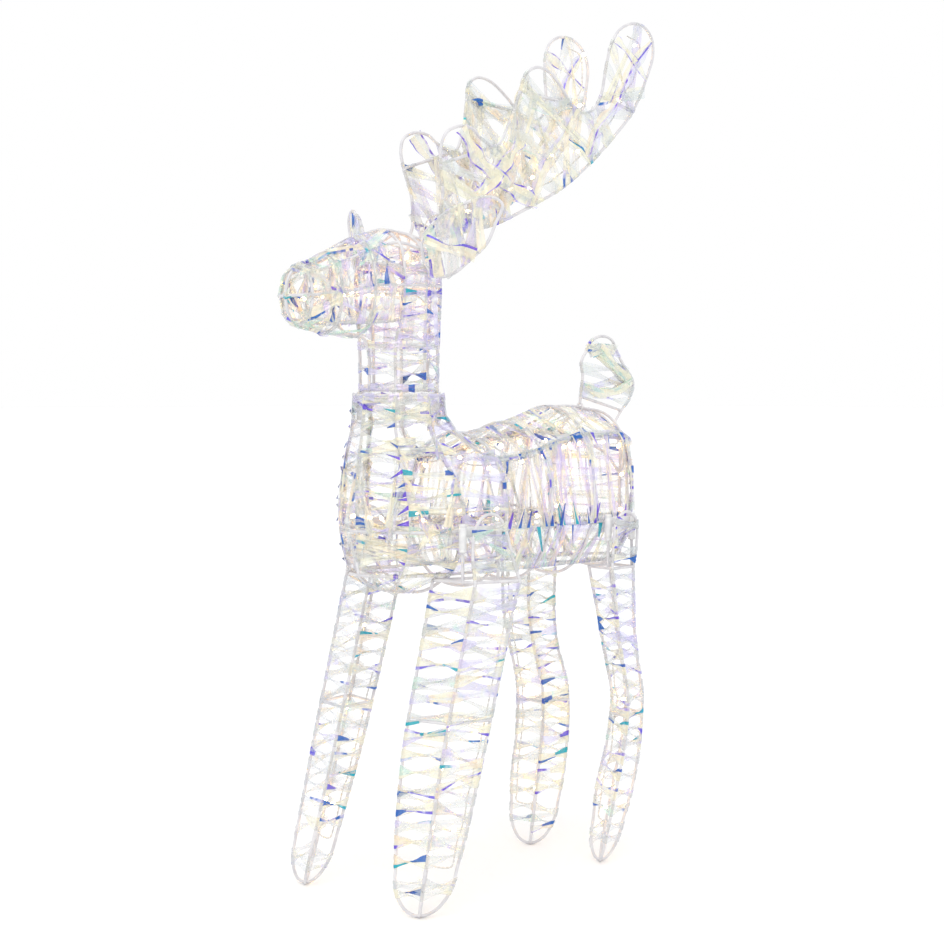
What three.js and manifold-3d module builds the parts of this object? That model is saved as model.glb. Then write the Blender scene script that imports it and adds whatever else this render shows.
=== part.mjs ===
// Light up yard reindeer: a standing buck made of white coated wire cages wound with clear film ribbon,
// with warm white string lights. Millimetres, +Z up, the deer faces -Y and its left side is +X.
// The origin is on the ground, under the middle of the object's box.
import * as THREE from 'three';
import { mergeVertices } from 'three/addons/utils/BufferGeometryUtils.js';
import Module from 'manifold-3d';

const wasm = await Module();
wasm.setup();

// ---------- driving dimensions, mm ----------
const WIRE_R = 2.2; // frame wire radius, with its coating
const WIRE_SIDES = 4;
const PRONG_R = 2.2; // prong radius
const SLEEVE_OUT = 5.2; // sleeve outer radius
const SLEEVE_IN = 3.1; // sleeve bore radius
const GAP = 0.3; // gap between pieces that touch
const FILM_T = 0.5; // film ribbon thickness
const FILM_W = 15; // film ribbon width
const FILM_OUT = WIRE_R + GAP + FILM_T / 2; // ribbon mid-plane above a wire's axis
const LEAD_R = 1.1; // light string lead radius
const BULB_R = 2.6; // bulb radius
const BULB_L = 10; // bulb length
const CENTRE_Y = -14.3; // moves the object's box middle onto the origin

// barrel of the body
const CHEST_Y = -201;
const RUMP_Y = 316;
const HALF_WIDTH = 100;
const RING_Z = 497; // level of the girdle ring
const LOW_Z = 438; // level of the lower ring

// neck
const NECK_Y = -127;
const LOWER_NECK_R = 60;
const UPPER_NECK_R = 52; // the upper neck's uprights run down into the sleeves
const JOINT_Z = 680; // top of the lower neck
const HEAD_LIFT = 3; // clear height between the two neck rings

// ---------- small helpers ----------
const V = (x, y, z) => new THREE.Vector3(x, y, z);
const lerp = THREE.MathUtils.lerp;

// straight-line interpolation in a list of [key, value] pairs
function follow(pairs, key) {
  const up = pairs[0][0] < pairs[pairs.length - 1][0] ? pairs : [...pairs].reverse();
  if (key <= up[0][0]) return up[0][1];
  for (let i = 1; i < up.length; i += 1) {
    if (key <= up[i][0]) {
      const t = (key - up[i - 1][0]) / (up[i][0] - up[i - 1][0]);
      return lerp(up[i - 1][1], up[i][1], t);
    }
  }
  return up[up.length - 1][1];
}

function polygon(radius, sides) {
  const shape = new THREE.Shape();
  for (let i = 0; i < sides; i += 1) {
    const a = (2 * Math.PI * i) / sides;
    if (i === 0) shape.moveTo(radius * Math.cos(a), radius * Math.sin(a));
    else shape.lineTo(radius * Math.cos(a), radius * Math.sin(a));
  }
  shape.closePath();
  return shape;
}

// curve of straight runs between knots; sections of a bar along it fall on the knots
class Knotted extends THREE.Curve {
  constructor(knots, closed = false) {
    super();
    this.knots = knots;
    this.closed = closed;
    this.runs = closed ? knots.length : knots.length - 1;
  }

  knot(i) {
    const n = this.knots.length;
    return this.closed ? this.knots[((i % n) + n) % n] : this.knots[Math.min(Math.max(i, 0), n - 1)];
  }

  getPoint(t) {
    const whole = Math.min(Math.round(t * this.runs * 1e6) / 1e6, this.runs);
    const i = Math.min(Math.floor(whole), this.runs - 1);
    return this.knot(i).clone().lerp(this.knot(i + 1), whole - i);
  }

  getTangent(t) {
    const i = Math.round(t * this.runs);
    const before = this.knot(i).clone().sub(this.knot(i - 1)).normalize();
    const after = this.knot(i + 1).clone().sub(this.knot(i)).normalize();
    return before.add(after).normalize();
  }

  getPointAt(t) {
    return this.getPoint(t);
  }

  getTangentAt(t) {
    return this.getTangent(t);
  }

  getSpacedPoints(count) {
    return Array.from({ length: count + 1 }, (_, i) => this.getPoint(i / count));
  }
}

// round bar through knots, capped at both ends
function bar(knots, radius = WIRE_R, sides = WIRE_SIDES) {
  const path = new Knotted(knots);
  const options = { steps: path.runs, extrudePath: path, bevelEnabled: false };
  return new THREE.ExtrudeGeometry(polygon(radius, sides), options);
}

// round bar bent into a closed loop
function loop(knots, radius = WIRE_R, sides = WIRE_SIDES) {
  return new THREE.TubeGeometry(new Knotted(knots, true), knots.length, radius, sides, true);
}

function solid(geometry) {
  let g = geometry.clone();
  g.deleteAttribute('normal');
  g.deleteAttribute('uv');
  g = mergeVertices(g, 1e-3);
  const vertProperties = new Float32Array(g.attributes.position.array);
  const triVerts = new Uint32Array(g.index.array);
  return new wasm.Manifold(new wasm.Mesh({ numProp: 3, vertProperties, triVerts }));
}

function geometryOf(manifold) {
  const mesh = manifold.getMesh();
  const g = new THREE.BufferGeometry();
  const p = new Float32Array(mesh.numVert * 3);
  for (let i = 0; i < mesh.numVert; i += 1) {
    for (let k = 0; k < 3; k += 1) p[3 * i + k] = mesh.vertProperties[i * mesh.numProp + k];
  }
  g.setAttribute('position', new THREE.BufferAttribute(p, 3));
  g.setIndex(new THREE.BufferAttribute(new Uint32Array(mesh.triVerts), 1));
  return g;
}

function join(list) {
  let whole = solid(list[0]);
  for (const g of list.slice(1)) whole = whole.add(solid(g));
  return geometryOf(whole.asOriginal().simplify(0.06));
}

function cut(body, tools) {
  let whole = solid(body);
  for (const g of tools) whole = whole.subtract(solid(g));
  return geometryOf(whole);
}

function piece(name, geometry, colour, roughness, metalness = 0) {
  const material = new THREE.MeshStandardMaterial({ color: colour, roughness, metalness });
  const mesh = new THREE.Mesh(geometry, material);
  mesh.name = name;
  return mesh;
}

// closed ribbon of rectangular section through a list of { at, out, side }: out is the direction
// the ribbon faces, side (worked out from the path when left out) the direction of its width
function strip(sections, width = FILM_W, thickness = FILM_T) {
  const n = sections.length;
  const p = [];
  sections.forEach(({ at, out, side }, i) => {
    const before = sections[Math.max(i - 1, 0)].at;
    const after = sections[Math.min(i + 1, n - 1)].at;
    const d0 = at.clone().sub(before).normalize();
    const d1 = after.clone().sub(at).normalize();
    const s0 = (i === 0 ? d1 : d0).clone().cross(out).normalize();
    const s1 = (i === n - 1 ? d0 : d1).clone().cross(out).normalize();
    let across = s0.clone().add(s1).normalize();
    let reach = (width / 2) * Math.min(1 / Math.max(across.dot(s0), 0.5), 1.5);
    if (side) {
      across = side.clone().multiplyScalar(Math.sign(side.dot(s0)) || 1);
      reach = width / 2;
    }
    for (const [a, b] of [[1, 1], [-1, 1], [-1, -1], [1, -1]]) {
      const q = at.clone().addScaledVector(across, a * reach).addScaledVector(out, (b * thickness) / 2);
      p.push(q.x, q.y, q.z);
    }
  });
  const index = [];
  for (let i = 0; i + 1 < n; i += 1) {
    for (let k = 0; k < 4; k += 1) {
      const a = 4 * i + k;
      const b = 4 * i + ((k + 1) % 4);
      // the two wide faces are split along the same diagonal, so a twisted run keeps its thickness
      if (k === 2) index.push(a, b, b + 4, a, b + 4, a + 4);
      else index.push(a, b, a + 4, b, b + 4, a + 4);
    }
  }
  const e = 4 * (n - 1);
  index.push(0, 2, 1, 0, 3, 2, e, e + 1, e + 2, e, e + 2, e + 3);
  const g = new THREE.BufferGeometry();
  g.setAttribute('position', new THREE.Float32BufferAttribute(p, 3));
  g.setIndex(index);
  return turnedOut(g);
}

// flips a closed mesh whose faces point in
function turnedOut(g) {
  const p = g.attributes.position;
  const a = V(0, 0, 0);
  const b = V(0, 0, 0);
  const c = V(0, 0, 0);
  let volume = 0;
  for (let i = 0; i < g.index.count; i += 3) {
    a.fromBufferAttribute(p, g.index.getX(i));
    b.fromBufferAttribute(p, g.index.getX(i + 1));
    c.fromBufferAttribute(p, g.index.getX(i + 2));
    volume += a.dot(b.clone().cross(c));
  }
  if (volume < 0) {
    for (let i = 0; i < g.index.count; i += 3) {
      const keep = g.index.getX(i + 1);
      g.index.setX(i + 1, g.index.getX(i + 2));
      g.index.setX(i + 2, keep);
    }
  }
  return g;
}

// ribbon that runs back and forth along rows of sections; a row of one section only carries it
// past a ring, on the side where the row before it ended
function serpentine(rows, width = FILM_W) {
  const sections = [];
  let turn = false;
  for (const row of rows) {
    if (row.length === 1) {
      const last = sections[sections.length - 1].at;
      const flip = Math.sign(row[0].at.x) === Math.sign(last.x) ? 1 : -1;
      const turned = (v) => V(v.x * flip, v.y, v.z);
      sections.push({ at: turned(row[0].at), out: turned(row[0].out) });
    } else {
      sections.push(...(turn ? [...row].reverse() : row));
      turn = !turn;
    }
  }
  return strip(sections, width);
}

// nearest place on a run of knots, and the direction of the wire there
function nearest(knots, target) {
  let best = null;
  for (let i = 0; i + 1 < knots.length; i += 1) {
    const run = new THREE.Line3(knots[i], knots[i + 1]);
    const at = run.closestPointToPoint(target, true, V(0, 0, 0));
    const far = at.distanceTo(target);
    if (!best || far < best.far) best = { at, far, along: run.delta(V(0, 0, 0)).normalize() };
  }
  return best;
}

// winding around a flat panel of two wire edges: from[i] and to[i] are places near the edges where
// the ribbon crosses them, face is the panel's normal
function flatWinding(edgeA, edgeB, from, to, face, width) {
  const lift = LIFT + 0.7;
  const sections = [];
  const put = (spot, shift, out) => sections.push({
    at: spot.at.clone().addScaledVector(shift, lift), out, side: spot.along,
  });
  const down = face.clone().negate();
  for (let i = 0; i < from.length; i += 1) {
    const a = nearest(edgeA, from[i]);
    const b = nearest(edgeB, to[i]);
    const outB = b.at.clone().sub(a.at).projectOnPlane(b.along).normalize();
    put(a, face, face);
    put(b, face, face);
    if (i + 1 === from.length) break;
    const next = nearest(edgeA, from[i + 1]);
    const outA = next.at.clone().sub(b.at).projectOnPlane(next.along).normalize();
    put(b, outB, outB);
    put(b, down, down);
    put(next, down, down);
    put(next, outA, outA);
  }
  return strip(sections, width);
}

// bulb standing off a lead, its axis along the given direction
function bulb(at, along) {
  const g = new THREE.CylinderGeometry(BULB_R * 0.55, BULB_R, BULB_L, 4, 1);
  g.applyQuaternion(new THREE.Quaternion().setFromUnitVectors(V(0, 1, 0), along));
  const middle = at.clone().addScaledVector(along, BULB_L / 2);
  g.translate(middle.x, middle.y, middle.z);
  return g;
}

// light string: a lead through knots, a bulb at each chosen knot, a connector at its start
function lightString(knots, bulbs, inward) {
  const list = [bar(knots, LEAD_R, 3)];
  for (const i of bulbs) {
    const along = inward(knots[i]).normalize();
    list.push(bulb(knots[i].clone().addScaledVector(along, -LEAD_R * 0.5), along));
  }
  const plug = new THREE.BoxGeometry(7, 7, 16);
  plug.translate(knots[0].x, knots[0].y, knots[0].z);
  list.push(plug);
  return join(list);
}

// ---------- the body's surface ----------
const TOP = [[-66, 640], [-48, 636], [-20, 625], [42, 632], [87, 644], [130, 656], [163, 661],
  [224, 661], [270, 650], [300, 628], [316, 600]];
const BOTTOM = [[-201, 440], [-150, 416], [-100, 411], [84, 417], [166, 420], [250, 426], [316, 440]];
const REAR_HALF_WIDTH = 92;
const FRONT_CAP = { y: -100, reach: -100 - CHEST_Y };
const REAR_CAP = { y: 205, reach: RUMP_Y - 205 };
const ROUNDNESS = 2.2;
const SEAM = 49; // angle of the wires along the edges of the back
const LIFT = FILM_OUT + 0.45; // ribbon above the axis of a wire that it bends over

const rounded = (v) => Math.sign(v) * Math.abs(v) ** (2 / ROUNDNESS);

// half width of the barrel at station y
function halfWidth(y) {
  const full = lerp(HALF_WIDTH, REAR_HALF_WIDTH, THREE.MathUtils.smoothstep(y, -20, 205));
  const cap = y < FRONT_CAP.y ? FRONT_CAP : REAR_CAP;
  if (y >= FRONT_CAP.y && y <= REAR_CAP.y) return full;
  const t = Math.min(Math.abs(y - cap.y) / cap.reach, 1);
  return full * Math.sqrt(1 - t * t);
}

const sectionMiddle = (y) => (follow(TOP, Math.max(y, -20)) + follow(BOTTOM, y)) / 2;
const sectionReach = (y) => (follow(TOP, Math.max(y, -20)) - follow(BOTTOM, y)) / 2;

// angle from the ridge at which the barrel reaches a level
function angleAt(y, z) {
  const c = THREE.MathUtils.clamp((z - sectionMiddle(y)) / sectionReach(y), -1, 1);
  return THREE.MathUtils.radToDeg(Math.acos(Math.sign(c) * Math.abs(c) ** (ROUNDNESS / 2)));
}

// share of the half width left at a level
function widthShare(y, z) {
  return rounded(Math.sin(THREE.MathUtils.degToRad(angleAt(y, z))));
}

// place on a surface given by a function of two numbers, raised along its outward direction
function raised(surface, u, v, lift, inside) {
  const at = surface(u, v);
  const du = surface(u + 0.5, v).sub(surface(u - 0.5, v));
  const dv = surface(u, v + 0.5).sub(surface(u, v - 0.5));
  const out = du.cross(dv).normalize();
  if (out.dot(at.clone().sub(inside)) < 0) out.negate();
  return { at: at.addScaledVector(out, lift), out };
}

function barrelAt(y, degrees) {
  const a = THREE.MathUtils.degToRad(degrees);
  const x = halfWidth(y) * rounded(Math.sin(a));
  return V(x, y, sectionMiddle(y) + sectionReach(y) * rounded(Math.cos(a)));
}

const barrel = (y, degrees, lift) => raised(barrelAt, y, degrees, lift, V(0, y, sectionMiddle(y)));

// plan of the chest and lower neck at a level: an oval with its own middle and reach
const CHEST_WIDE = [[JOINT_Z, LOWER_NECK_R], [640, 62], [600, 76], [565, 90], [530, HALF_WIDTH]];
const CHEST_DEEP = [[JOINT_Z, LOWER_NECK_R], [640, 64], [600, 78], [565, 94], [530, 101], [LOW_Z, 97]];
const CHEST_MIDDLE = [[JOINT_Z, NECK_Y], [640, -126], [600, -118], [565, -106], [530, -100]];
const CHEST_LEVELS = [JOINT_Z - WIRE_R, 640, 600, 565, 530, RING_Z, 465, LOW_Z];

function chestAt(z, degrees) {
  const a = THREE.MathUtils.degToRad(degrees);
  const share = z < 530 ? widthShare(-100, z) / widthShare(-100, 530) : 1;
  const w = follow(CHEST_WIDE, z) * share;
  return V(w * Math.sin(a), follow(CHEST_MIDDLE, z) - follow(CHEST_DEEP, z) * Math.cos(a), z);
}

const chest = (z, degrees, lift) => raised(chestAt, z, degrees, lift, V(0, NECK_Y, z));

function rumpAt(z, degrees) {
  const a = THREE.MathUtils.degToRad(degrees);
  const w = REAR_HALF_WIDTH * widthShare(205, z);
  return V(w * Math.sin(a), REAR_CAP.y + REAR_CAP.reach * Math.cos(a), z);
}

const rump = (z, degrees, lift) => raised(rumpAt, z, degrees, lift, V(0, REAR_CAP.y, z));

// ---------- body cage ----------
const HOOPS = [-20, 70, 160, 250];
const flipX = (p) => V(-p.x, p.y, p.z);

function levelRing(z) {
  const half = [0, 22.5, 45, 67.5, 90].map((a) => chestAt(z, a));
  for (const y of [-20, 50, 130]) half.push(V(halfWidth(y) * widthShare(y, z), y, z));
  half.push(...[90, 67.5, 45, 22.5, 0].map((a) => rumpAt(z, a)));
  return loop([...half, ...half.slice(1, -1).reverse().map(flipX)]);
}

function hoop(y) {
  const angles = Array.from({ length: 16 }, (_, i) => i * 22.5);
  return loop(angles.map((a) => barrelAt(y, a)));
}

// the middle wire of the front: down the neck and chest and under to the girth
function chestWire() {
  const knots = CHEST_LEVELS.map((z) => chestAt(z, 0));
  knots.push(V(0, -180, 424), V(0, -140, 413), V(0, -104, 410));
  return bar(knots);
}

// the middle wire of the back: neck, ridge, down the rump and under
function ridgeWire() {
  const knots = [V(0, -67, JOINT_Z - WIRE_R), V(0, -66, 655), V(0, -58, 640)];
  knots.push(...TOP.slice(2, -1).map(([y, z]) => V(0, y, z)));
  for (const z of [600, 560, 530, RING_Z, 465, LOW_Z]) knots.push(rumpAt(z, 0));
  knots.push(V(0, 296, 428), V(0, 250, 426));
  return bar(knots);
}

function seamWire(side) {
  const knots = [V(42.4, NECK_Y + 42.4, JOINT_Z - WIRE_R), V(43, -84, 655), V(54, -72, 628)];
  for (const y of [-20, 42, 87, 130, 163, 224, 270]) knots.push(barrelAt(y, SEAM));
  knots.push(V(24, 306, 592), V(0, RUMP_Y, 560));
  return bar(knots.map((p) => V(p.x * side, p.y, p.z)));
}

function chestUpright(degrees) {
  return bar(CHEST_LEVELS.map((z) => chestAt(z, degrees)));
}

// wire under the belly that joins the two side uprights
function girth() {
  const y = -100;
  const low = chestAt(LOW_Z, 90).x;
  return bar([V(low, y, LOW_Z), V(34, y, 417), V(0, y, 409), V(-34, y, 417), V(-low, y, LOW_Z)]);
}

// level ring round the neck's axis
function neckRing(z, radius) {
  const knots = Array.from({ length: 8 }, (_, i) => V(0, 0, z)
    .addScaledVector(V(Math.sin(i * Math.PI / 4), -Math.cos(i * Math.PI / 4), 0), radius)
    .add(V(0, NECK_Y, 0)));
  return loop(knots);
}

function bodyFrame() {
  const list = [levelRing(RING_Z), levelRing(LOW_Z), chestWire(), ridgeWire(), girth()];
  for (const side of [-1, 1]) list.push(seamWire(side));
  for (const a of [-90, -45, 45, 90]) list.push(chestUpright(a));
  for (const y of HOOPS) list.push(hoop(y));
  list.push(neckRing(JOINT_Z - WIRE_R, LOWER_NECK_R));
  return join(list);
}

// ---------- body windings ----------
// stations of the ribbons: four to each bay between hoops
const STATIONS = Array.from({ length: 15 }, (_, i) => -31.25 + 22.5 * i);

function sideFilm() {
  return serpentine(STATIONS.map((y) => [
    barrel(y, SEAM + 7, LIFT), barrel(y, angleAt(y, RING_Z), LIFT), barrel(y, angleAt(y, LOW_Z + 9), LIFT),
  ]));
}

function backFilm() {
  const angles = [-SEAM + 8, 0, SEAM - 8];
  return serpentine(STATIONS.slice(1).map((y) => angles.map((a) => barrel(y, a, LIFT + 0.2))));
}

function chestFilm() {
  return serpentine([626, 604, 582, 548, 514, RING_Z, 481, 455].map((z) => {
    if (z === RING_Z) return [barrel(-74, angleAt(-74, z), LIFT + 0.4)];
    return [-106, -90, -45, 0, 45, 90, 106].map((a) => chest(z, a, LIFT + 0.4));
  }));
}

function rumpFilm() {
  return serpentine([588, 566, 544, 520, RING_Z, 475, 455].map((z) => {
    if (z === RING_Z) return [rump(z, 30, LIFT)];
    return [-30, 0, 30].map((a) => rump(z, a, LIFT));
  }));
}

// ---------- body lights ----------
function bodyString() {
  const inner = 9;
  const knots = [V(30, -74, 612), V(50, -50, 585)];
  for (const y of [-20, 42, 87, 130, 163, 224, 262]) knots.push(barrel(y, SEAM + 2, -inner).at);
  knots.push(V(56, 270, 540));
  for (const y of [250, 200, 130, 60, -20, -90]) {
    knots.push(barrel(y, angleAt(y, RING_Z + 9), -inner).at);
  }
  knots.push(chest(RING_Z + 12, 60, -inner).at, chest(RING_Z + 12, 24, -inner).at);
  return lightString(knots, [2, 4, 6, 8, 10, 12, 13, 14, 16, 17], (at) => V(-at.x, 0, 540 - at.z));
}

// ---------- sleeves ----------
// short tube open at both ends
function sleeve(x, y, low, high) {
  const corners = [[SLEEVE_IN, low], [SLEEVE_OUT, low], [SLEEVE_OUT, high], [SLEEVE_IN, high],
    [SLEEVE_IN, low]];
  const g = new THREE.LatheGeometry(corners.map(([r, z]) => new THREE.Vector2(r, z)), 8);
  g.rotateX(Math.PI / 2);
  g.translate(x, y, 0);
  g.deleteAttribute('normal');
  g.deleteAttribute('uv');
  return turnedOut(mergeVertices(g, 1e-3));
}

// two sleeves side by side, held together by a strap between two levels
function socketPair(x, y, low, high, strapLow, strapHigh) {
  const [y0, y1] = y;
  const strap = new THREE.BoxGeometry(2, y1 - y0 - 2 * SLEEVE_IN - 2, strapHigh - strapLow);
  strap.translate(x, (y0 + y1) / 2, (strapLow + strapHigh) / 2);
  return join([sleeve(x, y0, low, high), sleeve(x, y1, low, high), strap]);
}

// ---------- head and upper neck ----------
const HEAD_RING_Z = JOINT_Z + HEAD_LIFT + WIRE_R;
const NOSE = { y: -317, z: 806 };
const MUZZLE_HALF_W = [[-313, 20], [-300, 31], [-280, 34.5], [-250, 38], [-200, 46], [-160, 51]];
const MUZZLE_HALF_H = [[-313, 25], [-300, 38], [-280, 44], [-250, 53], [-200, 65], [-160, 70]];
const MUZZLE_MIDDLE = [[-313, 806], [-280, 808], [-250, 812], [-200, 822], [-160, 829]];
const MUZZLE_KNOTS = [-313, -300, -280, -250, -200];
const MUZZLE_HOOPS = [-300, -256, -206];
const CROWN_R = [[HEAD_RING_Z, UPPER_NECK_R], [745, 53], [824, 56], [850, 54], [872, 46], [886, 33],
  [897, 0]];
const CROWN_LEVELS = CROWN_R.map(([z]) => z);
const CROWN_RING_Z = 850;

function muzzleAt(y, degrees) {
  const a = THREE.MathUtils.degToRad(degrees);
  const x = follow(MUZZLE_HALF_W, y) * rounded(Math.sin(a));
  return V(x, y, follow(MUZZLE_MIDDLE, y) + follow(MUZZLE_HALF_H, y) * rounded(Math.cos(a)));
}

const muzzle = (y, degrees, lift) => raised(muzzleAt, y, degrees, lift,
  V(0, y, follow(MUZZLE_MIDDLE, y)));

// surface round the neck's axis, from the joint to the crown; 0 degrees is straight ahead
function crownAt(z, degrees) {
  const a = THREE.MathUtils.degToRad(degrees);
  const r = follow(CROWN_R, z);
  return V(r * Math.sin(a), NECK_Y - r * Math.cos(a), z);
}

const crown = (z, degrees, lift) => raised(crownAt, z, degrees, lift, V(0, NECK_Y, z - 5));

function headMiddleWire() {
  const knots = [crownAt(HEAD_RING_Z, 0), crownAt(735, 0), V(0, -187, 752), V(0, -200, 757)];
  knots.push(...[...MUZZLE_KNOTS].reverse().slice(1).map((y) => muzzleAt(y, 180)));
  knots.push(V(0, NOSE.y, 792), V(0, NOSE.y, 820));
  knots.push(...MUZZLE_KNOTS.map((y) => muzzleAt(y, 0)), V(0, -160, 899));
  knots.push(...[...CROWN_LEVELS].reverse().map((z) => crownAt(z, 180)));
  return bar(knots);
}

function headGirdle() {
  const half = [V(0, NOSE.y, NOSE.z), ...MUZZLE_KNOTS.map((y) => muzzleAt(y, 90))];
  half.push(V(51, -160, 824), ...[90, 135, 180].map((a) => crownAt(824, a)));
  return loop([...half, ...half.slice(1, -1).reverse().map(flipX)]);
}

// wire up one side of the neck, over the crown and down the other side
function overCrown(degrees) {
  const up = CROWN_LEVELS.map((z) => crownAt(z, degrees));
  return bar([...up, ...up.slice(0, -1).reverse().map(flipX)]);
}

function throatHoop() {
  const up = [crownAt(HEAD_RING_Z, 45), crownAt(745, 45), V(47, -160, 785), V(51, -160, 826),
    V(42, -160, 876)];
  return bar([...up, V(0, -160, 899), ...up.reverse().map(flipX)]);
}

function muzzleHoop(y) {
  return loop(Array.from({ length: 8 }, (_, i) => muzzleAt(y, i * 45)));
}

function muzzleEdge(side, degrees, last) {
  const knots = [...MUZZLE_KNOTS.slice(1).map((y) => muzzleAt(y, degrees)), ...last];
  return bar(knots.map((p) => V(p.x * side, p.y, p.z)));
}

function headFrame() {
  const list = [headMiddleWire(), headGirdle(), overCrown(90), overCrown(135), throatHoop()];
  for (const side of [-1, 1]) {
    list.push(muzzleEdge(side, 45, [muzzleAt(-160, 45), crownAt(872, 90)]));
    list.push(muzzleEdge(side, 135, [muzzleAt(-160, 135)]));
  }
  for (const y of MUZZLE_HOOPS) list.push(muzzleHoop(y));
  for (const z of [HEAD_RING_Z, 745, CROWN_RING_Z]) list.push(neckRing(z, follow(CROWN_R, z)));
  for (const a of [45, 135, 225, 315]) {
    list.push(bar([crownAt(HEAD_RING_Z, a), crownAt(HEAD_RING_Z, a).setZ(648)], PRONG_R));
  }
  return join(list);
}

function muzzleFilm() {
  const turns = [-157, -135, -90, -45, 0, 45, 90, 135, 157];
  return serpentine([-289, -267, -256, -245, -217, -206, -188].map((y) => {
    if (MUZZLE_HOOPS.includes(y)) return [muzzle(y, 157, LIFT + 0.3)];
    return turns.map((a) => muzzle(y, a, LIFT + 0.5));
  }));
}

// ribbon round the back of the crown, from ear to ear
function crownFilm() {
  return serpentine([768, 788, 808, 834].map((z) => [104, 135, 180, 225, 256]
    .map((a) => crown(z, a, LIFT + 0.4))));
}

function windRound(corners, from, to, pitch) {
  const count = corners(from).length;
  const steps = Math.floor((from - to) / pitch) * count;
  return strip(Array.from({ length: steps + 1 }, (_, i) => corners(from - (pitch * i) / count)[i % count]));
}

function upperNeckFilm() {
  const corners = (z) => [0, 45, 90, 135, 180, 225, 270, 315].map((a) => crown(z, a, LIFT + 0.6));
  return windRound(corners, 729, 706, 21);
}

function headString() {
  const half = [V(36, -160, 812), V(30, -205, 812), V(24, -250, 808), V(16, -284, 804)];
  const knots = [V(20, -100, 704), V(26, -104, 740), V(28, -104, 800), V(38, -134, 812), ...half,
    V(0, -298, 802), ...half.reverse().map(flipX), V(-40, NECK_Y, 812), V(-26, -104, 836),
    V(0, -92, 856), V(20, NECK_Y, 872), V(0, -156, 882)];
  return lightString(knots, [2, 4, 6, 8, 10, 12, 14, 16], (at) => V(-at.x, NECK_Y - at.y, 815.5 - at.z));
}

// ---------- ears ----------
// leaf in the upright plane that leans out and back from the side of the head
const EAR_ROOT = V(60.5, -136, 0);
const EAR_WAY = V(0.88, 0.475, 0).normalize();
const EAR_FACE = V(0.475, -0.88, 0).normalize();
const EAR_OUTLINE = [[0, 858], [0, 888], [17, 908], [38, 922], [58, 930], [78, 936], [98, 936],
  [110, 926], [101, 904], [88, 876], [69, 859], [39, 837], [18, 836], [0, 858]];
const EAR_CUTS = [[10, 900, 10, 846], [28, 915, 30, 836], [48, 926, 50, 845], [68, 933, 70, 860],
  [88, 936, 90, 880]];

const onEar = (s, z) => V(EAR_ROOT.x, EAR_ROOT.y, z).addScaledVector(EAR_WAY, s);
const earOutline = () => EAR_OUTLINE.map(([s, z]) => onEar(s, z));

function earFilm() {
  const from = EAR_CUTS.map(([s, z]) => onEar(s, z));
  const to = EAR_CUTS.map(([, , s, z]) => onEar(s, z));
  return flatWinding(earOutline(), earOutline(), from, to, EAR_FACE, 10);
}

// ---------- antlers ----------
// flat panel that leans outward: x grows with height; the outline is given as [y, z]
const ANTLER_X = 22;
const ANTLER_LEAN = 0.15;
const ANTLER_BASE_Z = 885;
const ANTLER_PRONGS = [-90.4, -73.8];
const ANTLER_FRONT = [[-88, 893], [-79, 910], [-75, 948], [-84, 990], [-87, 1010], [-80, 1031],
  [-62, 1041], [-47, 1043], [-30, 1040], [-16, 1030], [15, 1022], [38, 1060], [50, 1100], [58, 1124],
  [77, 1135], [103, 1131], [131, 1112], [154, 1092], [184, 1083], [200, 1090], [212, 1110],
  [216, 1146], [221, 1180], [234, 1204], [258, 1217], [284, 1217]];
const ANTLER_REAR = [[306, 1202], [313, 1179], [304, 1143], [283, 1095], [251, 1058], [200, 1010],
  [149, 973], [100, 948], [50, 925], [16, 913], [-20, 905], [-48, 897], [-71, 890]];
const ANTLER_FACE = V(1, 0, -ANTLER_LEAN).normalize();
// ribbon chords over the antler, front edge to rear edge
const ANTLER_CUTS = [[-77, 928, -10, 907], [-79, 968, 30, 918], [-62, 997, 72, 935],
  [-24, 1010, 125, 961], [26, 1040, 175, 991], [45, 1084, 222, 1031], [92, 1090, 264, 1074],
  [128, 1088, 292, 1115], [214, 1128, 308, 1158]];
const ANTLER_TIES = [[[-84, 990], [15, 1022]], [[50, 1100], [154, 1092]], [[212, 1110], [283, 1095]]];

const onAntler = ([y, z]) => V(ANTLER_X + ANTLER_LEAN * (z - ANTLER_BASE_Z), y, z);
const antlerFront = () => ANTLER_FRONT.map(onAntler);
const antlerRear = () => ANTLER_REAR.map(onAntler);

function antlerFrame() {
  const [front, rear] = ANTLER_PRONGS;
  const outline = [V(ANTLER_X, front, 848), V(ANTLER_X, front, 876), ...antlerFront(), ...antlerRear(),
    V(ANTLER_X, rear, 876), V(ANTLER_X, rear, 848)];
  return join([bar(outline), ...ANTLER_TIES.map((tie) => bar(tie.map(onAntler)))]);
}

function antlerFilm() {
  const ties = ANTLER_TIES.map((tie) => tie.map(onAntler));
  const fronts = [...antlerFront().slice(0, 5), ...ties[0], ...antlerFront().slice(10, 13), ...ties[1],
    ...antlerFront().slice(17, 23)];
  const from = ANTLER_CUTS.map(([y, z]) => onAntler([y, z]));
  const to = ANTLER_CUTS.map(([, , y, z]) => onAntler([y, z]));
  return flatWinding(fronts, antlerRear(), from, to, ANTLER_FACE, 12);
}

function antlerString() {
  const run = [[-70, 900], [-52, 922], [-10, 930], [50, 945], [100, 966], [150, 992], [200, 1030],
    [240, 1070], [268, 1110], [288, 1150], [290, 1190], [262, 1200]];
  const knots = run.map((p) => onAntler(p).addScaledVector(ANTLER_FACE, -8));
  return lightString(knots, [2, 5, 8, 10], () => ANTLER_FACE.clone().negate());
}

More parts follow.
